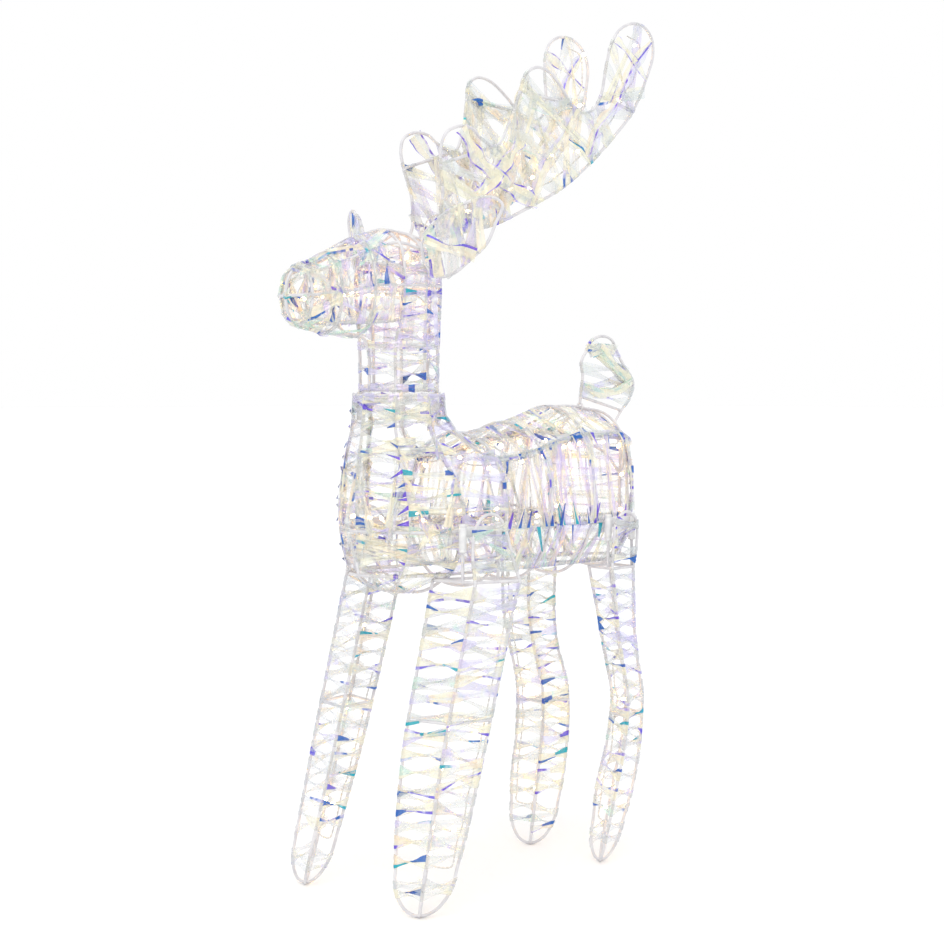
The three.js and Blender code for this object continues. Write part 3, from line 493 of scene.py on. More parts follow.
def antler_wires():
    front, rear = ANTLER_PRONGS
    run = [vec(ANTLER_X, front, z) for z in (849, 862, 876)]
    run += [on_antler(y, z) for y, z in ANTLER_FRONT + ANTLER_REAR]
    run += [vec(ANTLER_X, rear, z) for z in (876, 862, 849)]
    return [(curve(run, step=5), False)] + [([on_antler(*a), on_antler(*b)], False) for a, b in ANTLER_TIES]


def tail_wires():
    loop = curve([on_tail(y, z) for y, z in TAIL_OUTLINE], step=4)
    bar = [on_tail(231, 676), on_tail(272, 666), on_tail(314, 656)]
    return [(loop, False), (bar, False)]


def eye_points(eye):
    """Ring of an eye round the ridge wire, square to the wire's slope."""
    (y, z), slope = eye
    along = vec(0, 1, slope).normalized()
    side = along.orthogonal().normalized()
    other = along.cross(side)
    turns = [2 * math.pi * k / 20 for k in range(20)]
    return [vec(0, y, z) + side * (EYE_R * math.cos(a)) + other * (EYE_R * math.sin(a)) for a in turns]


# ---------- legs ----------
LEG_TOP_Z = 431
TOE_Z = 60  # below this the uprights curve in to the foot
TOE_DEPTH = 57.8
PRONG_TOP_Z = 499
LEG_LEVELS = [431, 350, 300, 235, 170, 110, 60]
DIAGONAL = (vec(0.70711, 0.70711, 0), vec(0.70711, -0.70711, 0))
FRONT_LEG = {
    "x": [(431, 105), (235, 107), (0, 119)],
    "y": [(431, -82), (350, -104), (235, -136), (0, -197)],
    "wide": [(431, 58), (350, 56), (235, 54), (110, 46), (60, 40)],
    "narrow": [(431, 38), (350, 37), (235, 35), (60, 28)],
    "ways": DIAGONAL, "rings": [250],
    "prong_x": 112, "prong_y": [-113, -48], "arch_x": 125, "top": 520,
}
REAR_LEG = {
    "x": [(431, 84), (350, 90), (300, 90), (235, 87), (110, 79), (0, 72)],
    "y": [(431, 206), (350, 212), (300, 222), (235, 238), (170, 234), (110, 221), (0, 197)],
    "wide": [(431, 40), (350, 38), (300, 36), (235, 38), (110, 39), (60, 35)],
    "narrow": [(431, 32), (350, 25), (300, 23), (235, 22), (110, 26), (60, 22)],
    "ways": DIAGONAL[::-1], "rings": [215],
    "prong_x": 103, "prong_y": [179, 229], "arch_x": 116, "top": 512,
}


def leg_middle(leg, z):
    return vec(follow(leg["x"], z), follow(leg["y"], z), z)


def leg_corner(leg, z, i):
    """Upright number i of a leg at a level."""
    spread = follow(leg["wide" if i % 2 == 0 else "narrow"], z)
    if z < TOE_Z:
        spread *= math.sqrt(max(1 - ((TOE_Z - z) / TOE_DEPTH) ** 2, 0.04))
    return leg_middle(leg, z) + leg["ways"][i % 2] * (spread if i < 2 else -spread)


def arch_foot(leg, corner):
    return vec(mix(corner.x, math.copysign(leg["arch_x"], corner.x), 0.7), corner.y, 465)


def leg_wires(leg):
    list_of = []
    for i in (0, 1):
        foot = follow(leg["wide" if i == 0 else "narrow"], TOE_Z)
        run = [leg_corner(leg, z, i) for z in LEG_LEVELS]
        for degrees in range(15, 180, 25):
            t = math.radians(degrees)
            z = WIRE_R + TOE_DEPTH * (1 - math.sin(t))
            run.append(leg_middle(leg, z) + leg["ways"][i] * (foot * math.cos(t)))
        run += [leg_corner(leg, z, i + 2) for z in LEG_LEVELS[::-1]]
        list_of.append((curve(run), False))
    for z in [LEG_TOP_Z] + leg["rings"]:
        corners = [leg_corner(leg, z, i) for i in range(4)]
        run = []
        for a, b in zip(corners, corners[1:] + corners[:1]):
            run += [mix(a, b, t) for t in (0.04, 0.35, 0.65, 0.96)]
        list_of.append((curve(run, closed=True, step=6), True))
    corners = [leg_corner(leg, LEG_TOP_Z, i) for i in range(4)]
    crossings = []
    for a, b in zip(corners, corners[1:] + corners[:1]):
        t = (leg["prong_x"] - a.x) / (b.x - a.x)
        if 0 < t < 1:
            crossings.append(mix(a, b, t))
    crossings.sort(key=lambda p: p.y)
    for at, y in zip((crossings[0], crossings[-1]), leg["prong_y"]):
        knots = [at, mix(at, vec(leg["prong_x"], y, 469), 0.85)]
        knots += [vec(leg["prong_x"], y, z) for z in (472, 486, PRONG_TOP_Z)]
        list_of.append((curve(knots, step=4), False))
    outer = [c for c in corners if c.x > leg["prong_x"] - 8]
    a, b = outer[0], outer[-1]
    top = leg["top"]
    arch = [a, arch_foot(leg, a)]
    for share, z in ((0.08, 498), (0.28, top - 4), (0.5, top), (0.72, top - 4), (0.92, 498)):
        arch.append(vec(leg["arch_x"], mix(a.y, b.y, share), z))
    arch += [arch_foot(leg, b), b]
    list_of.append((curve(arch, step=5), False))
    return list_of


LOWEST_WELD = 12  # a bead at the very foot would stick out below the wire that stands on the ground
WELD_REACH = 5.5
WELD_SPACING = 16


def wire_shape(list_of, side=1, thin=()):
    """All wires of one frame, with a weld bead wherever two of them meet."""
    shape = Shape()
    runs = []
    for points, closed in list_of:
        points = [sided(p, side) for p in points]
        runs.append(points)
        tube(shape, points, WIRE_R, closed=closed)
    for points in thin:
        tube(shape, points, EYE_WIRE_R, closed=True)
    tree = KDTree(sum(len(r) for r in runs))
    owner = []
    for n, run in enumerate(runs):
        for p in run:
            tree.insert(p, len(owner))
            owner.append((n, p))
    tree.balance()
    beads = []
    for n, p in owner:
        if p.z < LOWEST_WELD:
            continue
        for other, i, _ in tree.find_range(p, WELD_REACH):
            if owner[i][0] > n and all((p - q).length > WELD_SPACING for q in beads):
                beads.append((p + other) / 2)
                break
    rng = random.Random(len(beads))
    for p in beads:
        blob(shape, p, rng.uniform(2.7, 3.2))
    return shape


# ---------- ribbon ----------
# tint: red, green, blue and how much of the light the film stops
CLEAR = (0.77, 0.77, 0.78, 0.38)
PEARL = (0.86, 0.85, 0.83, 0.56)
CREAM = (1.00, 0.93, 0.76, 0.74)
PEACH = (1.00, 0.83, 0.66, 0.66)
LAVENDER = (0.76, 0.68, 1.00, 0.56)
MINT = (0.66, 0.90, 0.78, 0.56)
# VIOLET, NAVY and TEAL are the deep colours that the iridescent film reflects at its folds, painted into
# its colour as sheen
VIOLET = (0.15, 0.06, 0.72, 0.94)
NAVY = (0.02, 0.10, 0.52, 0.97)
TEAL = (0.00, 0.40, 0.54, 0.97)
FLAT_TINTS = (CLEAR, PEARL, CREAM, PEACH, LAVENDER, MINT)
PAINTED_SHEEN_TINTS = (NAVY, TEAL, VIOLET)
# shares of the flat tints, then how often a fold gets a narrow painted sheen of violet, navy or teal by the
# wire, and how often a wider one
PLAIN = ((58, 22, 10, 3, 6, 1), 0.12, 0.05)
LILAC = ((32, 10, 6, 2, 48, 2), 0.12, 0.05)
GREENISH = ((38, 18, 16, 4, 4, 20), 0.18, 0.08)
GOLDEN = ((36, 20, 32, 5, 6, 1), 0.24, 0.06)
# the mood with the most painted sheen
PAINTED_SHEEN_MOOD = ((30, 14, 32, 8, 8, 8), 0.30, 0.34)


class Ribbon:
    """Crumpled film led from wire to wire: flat over each wire, pinched and often turned between."""

    COLUMNS = 4

    def __init__(self, shape, seed, width=16.0, mood=PLAIN, pinch=(0.22, 0.62), turns=0.45):
        self.shape = shape
        self.rng = random.Random(seed)
        self.width = width
        self.mood = mood
        self.pinch = pinch
        self.turns = turns
        self.last = None
        self.hand = 1
        self.wrap_tint = [(CLEAR, PEARL)]

    def colours(self):
        """Tint and undertint of each column of half a span: close to the wire, then away from it."""
        flat, edge, deep = self.mood
        rng = self.rng
        base, under = rng.choices(FLAT_TINTS, flat, k=2)
        far = [(base, under)] * self.COLUMNS
        if rng.random() < 0.3:
            other = rng.choices(FLAT_TINTS, flat)[0]
            far[rng.randrange(self.COLUMNS)] = (other, other)
        near = list(far)
        chance = rng.random()
        # the fold's iridescent sheen is painted into its colour: deep columns by the wire, pale ones beyond
        if chance < deep:
            painted_sheen = rng.choices(PAINTED_SHEEN_TINTS, (50, 22, 28))[0]
            pale = rng.choice((CREAM, CREAM, PEACH, base))
            reach = rng.choice((1, 2, 2, 3, 4)) if self.width < 18 else rng.choice((1, 2))
            near = [(painted_sheen, painted_sheen)] * reach + [(pale, pale)] * (self.COLUMNS - reach)
            far = [(pale, base)] * self.COLUMNS
        elif chance < deep + edge:
            painted_sheen = rng.choices(PAINTED_SHEEN_TINTS, (34, 12, 54))[0]
            pale = CREAM if rng.random() < 0.6 else base
            near = [(painted_sheen, LAVENDER)] + [(pale, base)] * (self.COLUMNS - 1)
            far = [(pale, base)] * self.COLUMNS
        return (near, far) if rng.random() < 0.5 else (near[::-1], far[::-1])

    def lay(self, centre, across, normal, width, crumple, marks=(-1, -0.5, 0, 0.5, 1)):
        """One section of the ribbon, with its points at marks; returns the number of the first."""
        across = (across - normal * across.dot(normal)).normalized()
        first = len(self.shape.points)
        cell = self.width / self.COLUMNS
        shown = width / self.COLUMNS
        depth = min(math.sqrt(max(cell * cell - shown * shown, 0)) * 0.55, 2.4) * crumple
        for j, s in enumerate(marks):
            lift = depth * (0.5 if j % 2 else -0.5)
            self.shape.points.append(centre + across * (s * width / 2) + normal * lift)
        return first

    def stitch(self, a, b, tints):
        for j in range(self.COLUMNS):
            tint, under = tints[j * len(tints) // self.COLUMNS]
            self.shape.face([a + j, a + j + 1, b + j + 1, b + j], tint, under)

    def to(self, wire, along, normal, arc=False):
        """Leads the ribbon to the surface of a wire, on the side that normal points to."""
        normal = (normal - along * normal.dot(along)).normalized()
        at = wire + normal * (WIRE_R + 0.6)
        width = self.width * self.rng.uniform(0.82, 1.0)
        if self.last is None:
            row = self.lay(at, along * self.hand, normal, width, 0.4)
            self.last = (at, along, normal, width, row)
            return
        at0, along0, normal0, width0, row0 = self.last
        if arc:
            row = self.lay(at, along * self.hand, normal, width0, 0.5)
            self.stitch(row0, row, self.wrap_tint)
            self.last = (at, along, normal, width0, row)
            return
        length = (at - at0).length
        count = min(max(int(length / 5), 4), 11)
        turned = self.rng.random() < self.turns and length > 14
        low = self.rng.uniform(0.12, 0.26) if turned else self.rng.uniform(*self.pinch)
        if length < 20:
            low = min(low + 0.3, 0.8)
        where = self.rng.uniform(0.3, 0.7)
        spin = self.rng.choice((-1, 1)) * math.pi if turned else self.rng.uniform(-0.35, 0.35)
        way = (at - at0).normalized()
        hand0 = self.hand
        if turned:
            self.hand = -self.hand
        if along0.dot(along) < 0:
            self.hand = -self.hand
        a0, a1 = along0 * hand0, along * self.hand * (-1 if turned else 1)
        halves = [self.colours(), self.colours()]
        self.wrap_tint = halves[1][0]
        # how far from each wire the near columns reach; these carry the painted sheen
        sheen_reach = self.rng.uniform(16, 38)
        sway = vec(*(self.rng.uniform(-1, 1) for _ in range(3))) * min(length * 0.018, 1.4)
        previous = row0
        for k in range(1, count + 1):
            t = k / count
            u = t / where if t < where else (1 - t) / (1 - where)
            share = 1 - (1 - low) * smooth(u) ** 0.8
            base = mix(a0, a1, smooth(t))
            base = (base - way * base.dot(way)).normalized()
            facing = mix(normal0, normal, t)
            facing = (facing - way * facing.dot(way)).normalized()
            base = (base - facing * base.dot(facing)).normalized()
            angle = spin * smooth((t - where) * 1.6 + 0.5) if turned else spin * math.sin(math.pi * t)
            spun = Matrix.Rotation(angle, 3, way)
            if k == count:
                row = self.lay(at, along * self.hand, normal, width, 0.4)
            else:
                centre = mix(at0, at, t) + sway * math.sin(math.pi * t)
                row = self.lay(centre, spun @ base, spun @ facing, mix(width0, width, t) * share, 1.0)
            near, far = halves[0 if t <= where + 0.5 / count else 1]
            close = min(t, 1 + 1 / count - t) * length < sheen_reach
            self.stitch(previous, row, near if close else far)
            previous = row
        self.last = (at, along, normal, width, previous)

    def round(self, wire, along, inward, via, outward):
        """Bends the ribbon round a wire from one side to another, by way of a third."""
        self.to(wire, along, inward)
        for n in (inward + via, via, via + outward, outward):
            self.to(wire, along, n.normalized(), arc=True)


def nearest(points, target):
    """Nearest place on a run of points, and the direction of the wire there."""
    best = None
    for a, b in zip(points, points[1:]):
        d = b - a
        t = min(max((target - a).dot(d) / max(d.length_squared, 1e-6), 0), 1)
        p = a + d * t
        far = (p - target).length
        if best is None or far < best[0]:
            best = (far, p, d.normalized())
    return best[1], best[2]


def lace(shape, seed, edge_a, edge_b, stops, face, **look):
    """Ribbon laced round two wires of a flat or gently curved panel, at target points near each."""
    ribbon = Ribbon(shape, seed, **look)
    side = 1
    for p, q in stops:
        a, along_a = nearest(edge_a, p)
        b, along_b = nearest(edge_b, q)
        normal = face(mix(a, b, 0.5)) if callable(face) else face
        out_a, out_b = (a - b).normalized(), (b - a).normalized()
        ribbon.round(a, along_a, -normal * side, out_a, normal * side)
        ribbon.round(b, along_b, normal * side, out_b, -normal * side)


def winding(shape, seed, corners, levels, sheen_face=None, **look):
    """Ribbon wound round a cage: corners(level) gives its uprights as (point, direction) in order."""
    ribbon = Ribbon(shape, seed, **look)
    for i, z in enumerate(levels):
        ring = corners(z)
        n = len(ring)
        # on one face the windings take the mood with the most painted sheen
        ribbon.mood = PAINTED_SHEEN_MOOD if (i - 1) % n == sheen_face else look["mood"]
        at, along = ring[i % n]
        before, after = ring[(i - 1) % n][0], ring[(i + 1) % n][0]
        middle = sum((p for p, _ in ring), vec(0, 0, 0)) / n
        out = (at - middle).normalized()
        into = (at - before).cross(along)
        into = into if into.dot(out) > 0 else -into
        away = (after - at).cross(along)
        away = away if away.dot(out) > 0 else -away
        ribbon.round(at, along, into.normalized(), out, away.normalized())


def rows(shape, seed, lines, **look):
    """Ribbon that follows each line of (point, wire direction, outward) in turn, there and back."""
    ribbon = Ribbon(shape, seed, **look)
    turn = False
    for line in lines:
        line = list(line)[::-1] if turn else list(line)
        turn = not turn
        for n, (at, along, out) in enumerate(line):
            if n in (0, len(line) - 1):
                inner = (line[1][0] - at if n == 0 else line[-2][0] - at).normalized()
                first, last = (out * -1, out) if n == 0 else (out, out * -1)
                ribbon.round(at, along, first, -inner, last)
            else:
                ribbon.to(at, along, out)


def surface_stop(surface, u, v, inside, reach=3):
    """A place on a surface with the wire direction and the outward direction there."""
    at = surface(u, v)
    along = heading(lambda t: surface(t, v), u, reach)
    across = heading(lambda t: surface(u, t), v, 0.5)
    out = along.cross(across)
    if out.dot(at - inside) < 0:
        out = -out
    return at, along, out.normalized()


def band(shape, seed, z, radius):
    """Ribbon laid along a ring of the neck, all the way round."""
    ribbon = Ribbon(shape, seed, width=13, mood=LILAC, pinch=(0.55, 0.95), turns=0)
    for a in range(0, 361, 18):
        out = polar(1, a)
        drift = ribbon.rng.uniform(-1.6, 1.6)
        ribbon.to(out * radius + vec(0, NECK_Y, z + drift), vec(0, 0, 1), out)


def streamer(shape, seed, points, width, face, marks, tints):
    """Wide strip that lies over the lacing of a flat panel, its columns coloured lengthwise."""
    ribbon = Ribbon(shape, seed, width=width)
    run = curve(points, step=5)
    previous = None
    for i, p in enumerate(run):
        way = (run[min(i + 1, len(run) - 1)] - run[max(i - 1, 0)]).normalized()
        wave = noise.noise(p * 0.035 + vec(seed, 0, 0))
        facing = (face + way.cross(face) * wave * 0.9).normalized()
        end = min(i, len(run) - 1 - i) < 1
        centre = p + face * (2.8 if end else 4.5 + 2 * wave)
        row = ribbon.lay(centre, way.cross(face), facing, width * (0.78 + 0.4 * wave), 0.8, marks)
        if previous is not None:
            ribbon.stitch(previous, row, tints)
        previous = row


def fold_tip(shape, seed, wire, along, out, way, length, width):
    """Folded tip of film that tapers away from a wire, with a deep blue sheen painted into its colour and a
    cream rim.
    """
    ribbon = Ribbon(shape, seed, width=width)
    rng = ribbon.rng
    painted_sheen = rng.choices(PAINTED_SHEEN_TINTS, (45, 20, 35))[0]
    tints = [(painted_sheen, painted_sheen)] * 3 + [(CREAM, CREAM)]
    if rng.random() < 0.5:
        tints.reverse()
    drift = rng.uniform(-0.35, 0.35) * length
    previous = None
    for k in range(5):
        t = k / 4
        centre = wire + out * (3.4 + 1.2 * t) + way * (length * t) + along * (drift * t)
        facing = (out + way * 0.3 * (-1) ** k).normalized()
        row = ribbon.lay(centre, along, facing, width * (1 - 0.86 * t), 1.0)
        if previous is not None:
            ribbon.stitch(previous, row, tints)
        previous = row


def barrel_stop(y, degrees):
    return surface_stop(barrel_at, y, degrees, vec(0, y, BARREL_MIDDLE_Z))


def chest_stop(z, degrees):
    return surface_stop(chest_at, z, degrees, vec(0, NECK_Y, z))


# ---------- film, piece by piece ----------
def side_film(side):
    shape = Shape()
    rng = random.Random(11 if side > 0 else 12)

    def stop(y, where, level):
        """A stop at y on a wire that is level (where is its height) or not (where is its angle)."""
        def on_wire(y):
            return barrel_at(y, angle_at(y, where) if level else where)

        a = math.radians(angle_at(y, where) if level else where)
        out = vec(math.sin(a), 0, math.cos(a))
        return [sided(p, side) for p in (on_wire(y), heading(on_wire, y), out)]

    def run(seed, first, last, pitch, top, bottom, mood, slant, width):
        y = first
        lines = []
        while y < last:
            y2 = y + slant * rng.uniform(-1, 1)
            line = [stop(min(max(y2, -44), 278), *top)]
            if bottom[0] < RING_Z - 20 and top != (RING_Z, True):
                line.append(stop(mix(y, y2, 0.5), RING_Z, True))
            line.append(stop(y, *bottom))
            lines.append(line)
            y += pitch * rng.uniform(0.75, 1.25)
        rows(shape, seed, lines, width=width, mood=mood)

    for n, y in enumerate(HOOPS):  # along each hoop
        shift = [rng.uniform(-3, 3) for _ in range(6)]
        line = [stop(y + shift[k], degrees, False) for k, degrees in enumerate((SEAM, 60, 70, 80))]
        line += [stop(y + shift[4], RING_Z, True), stop(y + shift[5], LOW_Z, True)]
        rows(shape, 200 + n, [line], width=17, mood=LILAC if n in (1, 2) else PLAIN, pinch=(0.6, 1.0),
             turns=0)
    # folded tips above and below the ring, and a few under the wire along the back
    for n in range(17):
        at, along, out = stop(-34 + 18 * n + rng.uniform(-5, 5), RING_Z, True)
        up = vec(0, 0, 1 if n % 4 else -1)
        fold_tip(shape, 420 + n, at, along, out, up, rng.uniform(14, 34), rng.uniform(6, 11))
    for n in range(5):
        at, along, out = stop(20 + 54 * n + rng.uniform(-14, 14), SEAM, False)
        fold_tip(shape, 440 + n, at, along, out, vec(0.45 * side, 0, -0.9), rng.uniform(16, 28),
                 rng.uniform(7, 11))

    seam, ring, low = (SEAM, False), (RING_Z, True), (LOW_Z, True)
    run(21, -34, 60, 24, seam, low, PLAIN, 12, 19)
    run(22, 62, 180, 22, seam, low, LILAC, 12, 18)
    run(23, 182, 268, 24, seam, low, PLAIN, 12, 19)
    run(24, -30, 262, 36, seam, ring, LILAC, 34, 15)
    run(27, -20, 250, 46, seam, ring, GOLDEN, 30, 16)
    run(25, -38, 110, 21, ring, low, PLAIN, 22, 17)
    run(26, 108, 270, 20, ring, low, LILAC, 22, 17)
    run(28, -30, 262, 60, ring, low, GREENISH, 40, 16)
    return shape


def back_film():
    shape = Shape()
    rng = random.Random(5)

    def run(seed, pitch, slant, width, mood):
        lines = []
        y = -30
        while y < 270:
            s = slant * rng.uniform(0.5, 1.2)
            ends = [min(max(y + k * s, -44), 284) for k in (-1, 0, 1)]
            at, along, out = barrel_stop(ends[1], 0)
            out = -out if ends[1] > TAIL_Y else out  # under the wire that the tail is hung from
            lines.append([barrel_stop(ends[0], -SEAM), (at, along, out), barrel_stop(ends[2], SEAM)])
            y += pitch * rng.uniform(0.8, 1.2)
        rows(shape, seed, lines, width=width, mood=mood, turns=0.25)

    run(31, 21, 16, 17, PLAIN)
    run(32, 34, -14, 15, GOLDEN)
    run(33, 48, 30, 15, PLAIN)
    # along each hoop, then along the wire on either side of the back
    for n, y in enumerate(HOOPS[:-1]):
        line = [barrel_stop(y + rng.uniform(-2, 2), degrees) for degrees in range(-42, 43, 14)]
        rows(shape, 34 + n, [line], width=15, mood=GOLDEN if n > 1 else PLAIN, pinch=(0.6, 0.95),
             turns=0)
    for sign in (-1, 1):
        line = []
        for y in range(-40, 281, 32):
            at, along, out = barrel_stop(y, SEAM * sign)
            line.append((at, out.cross(along).normalized(), out))
        rows(shape, 39 + sign, [line], width=15, mood=PLAIN, pinch=(0.5, 0.9), turns=0)
    return shape


def chest_film():
    shape = Shape()
    rng = random.Random(7)

    def run(seed, levels, slant, width, mood, angles=(-90, -45, 0, 45, 90)):
        lines = []
        for z in levels:
            tilt = slant * rng.uniform(-1, 1)
            lines.append([chest_stop(min(max(z + tilt * a / 90, 441), 674), a) for a in angles])
        rows(shape, seed, lines, width=width, mood=mood)

    run(41, [671, 659, 640, 620, 597, 574, 548, 526, 508, 484, 466, 448], 12, 19, PLAIN)
    run(42, [655, 600, 556, 510, 470], 40, 17, GREENISH)
    run(43, [636, 600, 560, 520, 480, 455], 34, 16, GOLDEN, (0, 45, 90))
    run(44, [640, 604, 566, 524, 486, 452], 34, 16, PLAIN, (0, -45, -90))
    # zigzags between the ring and the level above or below it
    for seed, far in ((47, 570), (48, 445), (49, 600)):
        zigzag = []
        for a in range(-90, 91, 15):
            if a % 45:
                zigzag.append(chest_stop(RING_Z, a + rng.uniform(-3, 3)))
            else:
                zigzag.append(chest_stop(far + rng.uniform(-14, 14), a))
        rows(shape, seed, [zigzag], width=17, mood=GOLDEN if far > RING_Z else PLAIN)
    band(shape, 54, 675, LOWER_NECK_R)
    # folded tips along the wires on either side of the breast
    for n, z in enumerate((656, 635, 612, 594, 576, 556, 541, 526, 508, 478, 458)):
        for a in (45, -45):
            at, _, out = chest_stop(z + rng.uniform(-4, 4), a)
            way = (chest_at(z, a * 0.9) - at).normalized()
            up = heading(lambda level: chest_at(level, a), z)
            fold_tip(shape, 400 + 2 * n + (a > 0), at, up, out, way, rng.uniform(10, 19),
                     rng.uniform(6, 11))
    # down the wire from the neck to each side of the back
    slope = curve([vec(42.4, NECK_Y + 42.4, 674)] + SEAM_NECK[1:] + [barrel_at(SHOULDER_Y, SEAM)])
    out = vec(0.6, 0.3, 0.7)
    for side in (1, -1):
        line = []
        for p, q in zip(slope[::4], slope[1::4]):
            across = (q - p).cross(out).normalized()
            line.append([sided(v, side) for v in (p, across, out)])
        rows(shape, 56 + side, [line], width=15, mood=PLAIN, pinch=(0.5, 0.9), turns=0)
    # under the chest, from one side of the low ring to the other
    keel = curve([vec(0, -201, LOW_Z)] + KEEL)
    lines = []
    for a in (26, 36, 46, 56, 66, 76, 86):
        left = chest_at(LOW_Z, a + rng.uniform(-5, 5))
        right = flip(chest_at(LOW_Z, a + rng.uniform(-5, 5)))
        middle, way = nearest(keel, vec(0, (left.y + right.y) / 2, 415))
        edge = heading(lambda degrees: chest_at(LOW_Z, degrees), a, 2)
        lines.append([(left, edge, vec(0.3, -0.2, -1)), (middle, way, vec(0, -0.2, -1)),
                      (right, flip(edge), vec(-0.3, -0.2, -1))])
    rows(shape, 53, lines, width=17, mood=PLAIN)
    # behind the lower neck
    ridge, seam = curve(RIDGE_NECK), curve(SEAM_NECK)
    lines = []
    for z in (671, 658, 646, 634):
        tilt = rng.uniform(-5, 5)
        near, near_way = nearest(seam, vec(44, -80, z + tilt / 2))
        far, far_way = nearest(ridge, vec(0, -64, z))
        lines.append([chest_stop(z + tilt, 90), (near, near_way, vec(0.6, 0.8, 0)),
                      (far, far_way, vec(0, 1, 0.2)), (flip(near), flip(near_way), vec(-0.6, 0.8, 0)),
                      chest_stop(z - tilt, -90)])
    rows(shape, 50, lines, width=17, mood=LILAC)
    # behind the shoulders: between the side uprights and the first hoop
    for side in (1, -1):
        lines = []
        for z in (608, 590, 572, 552, 532, 512, 492, 474, 456, 444):
            back = barrel_at(SHOULDER_Y, angle_at(SHOULDER_Y, z + rng.uniform(-24, 8)))
            steep = abs(back.z - BARREL_MIDDLE_Z) < 60
            line = [(chest_at(z, 90), heading(lambda level: chest_at(level, 90), z), vec(1, 0, 0)),
                    (back, vec(0, 0, 1) if steep else vec(-0.6, 0, 0.8), vec(1, 0, 0.3))]
            lines.append([[sided(p, side) for p in stop] for stop in line])
        rows(shape, 45 + side, lines, width=18, mood=LILAC)
    return shape


def rump_film():
    shape = Shape()
    rng = random.Random(9)

    def hoop(z):
        return barrel_at(HOOPS[-1], angle_at(HOOPS[-1], z))

    def on_hoop(z, side):
        """A stop on one side of the last hoop, near a level."""
        z = min(max(z, 444), 604)
        return [sided(p, side) for p in (hoop(z), heading(hoop, z), vec(0.8, 0.5, 0.1))]

    for seed, slant, start in ((51, 6, 600), (52, 22, 590)):
        lines = []
        z = start
        while z > 444:
            tilt = slant * rng.uniform(-1, 1)
            on_ridge = (rump_at(z, 0), vec(0, 0, 1), vec(0, 1, 0))
            lines.append([on_hoop(z - tilt, -1), on_ridge, on_hoop(z + tilt, 1)])
            z -= rng.uniform(15, 21) if slant < 10 else rng.uniform(28, 36)
        rows(shape, seed, lines, width=16, mood=LILAC if slant < 10 else GREENISH)
    return shape


def neck_corners(z):
    return [(crown_at(z, a), heading(lambda level: crown_at(level, a), z)) for a in range(0, 360, 45)]


def upper_neck_film():
    shape = Shape()
    even = [738 - 3.3 * i for i in range(15)]
    uneven = [722 - 4.6 * i if i % 2 else 734 - 3.0 * i for i in range(6)]
    winding(shape, 61, neck_corners, even, width=15, mood=LILAC, sheen_face=1)
    winding(shape, 62, neck_corners, uneven, width=14, mood=PLAIN)
    band(shape, 63, HEAD_RING_Z + 3, UPPER_NECK_R)
    return shape


def crown_stop(z, degrees, inside_z):
    return surface_stop(crown_at, z, degrees, vec(0, NECK_Y, inside_z))


def crown_film():
    shape = Shape()
    rng = random.Random(13)

    def on_throat(z, side):
        at, along = nearest(curve(throat_knots()), vec(50, -160, z))
        return [sided(p, side) for p in (at, along, vec(0.9, -0.4, 0))]

    def line(z, tilt):
        stops = [on_throat(z + tilt, 1)]
        for k, a in enumerate((90, 135, 180, 225, 270)):
            stops.append(crown_stop(z + tilt * (1 - 0.4 * k), a, z - 5))
        return stops + [on_throat(z - tilt, -1)]

    level = [line(z, rng.uniform(-5, 5)) for z in (756, 770, 785, 800, 816, 832, 846)]
    rows(shape, 71, level, width=15, mood=LILAC)
    tilted = [line(z, rng.choice((-9, 9))) for z in (764, 792, 822, 850)]
    rows(shape, 72, tilted, width=13, mood=LILAC)
    # up the back of the head, from ring to ring
    for n, a in enumerate((108, 152, 208, 252)):
        upward = []
        for k, z in enumerate((745, 850, 872)):
            turn = a + 10 * (-1) ** (k + n)
            at, _, out = crown_stop(z, turn, z - 5)
            upward.append((at, heading(lambda degrees: crown_at(z, degrees), turn), out))
        rows(shape, 310 + n, [upward], width=18, mood=LILAC, pinch=(0.4, 0.8), turns=0.2)
    # round the top
    over = []
    for z, shift in ((866, 0), (858, 6), (872, -3)):
        over.append([crown_stop(z + (shift if a < 180 else -shift), a, 840)
                     for a in (90, 135, 180, 225, 270)])
    rows(shape, 73, over, width=13, mood=LILAC)
    for seed, z in ((74, 745), (75, 850)):
        band(shape, seed, z, follow(CROWN_R, z))
    return shape


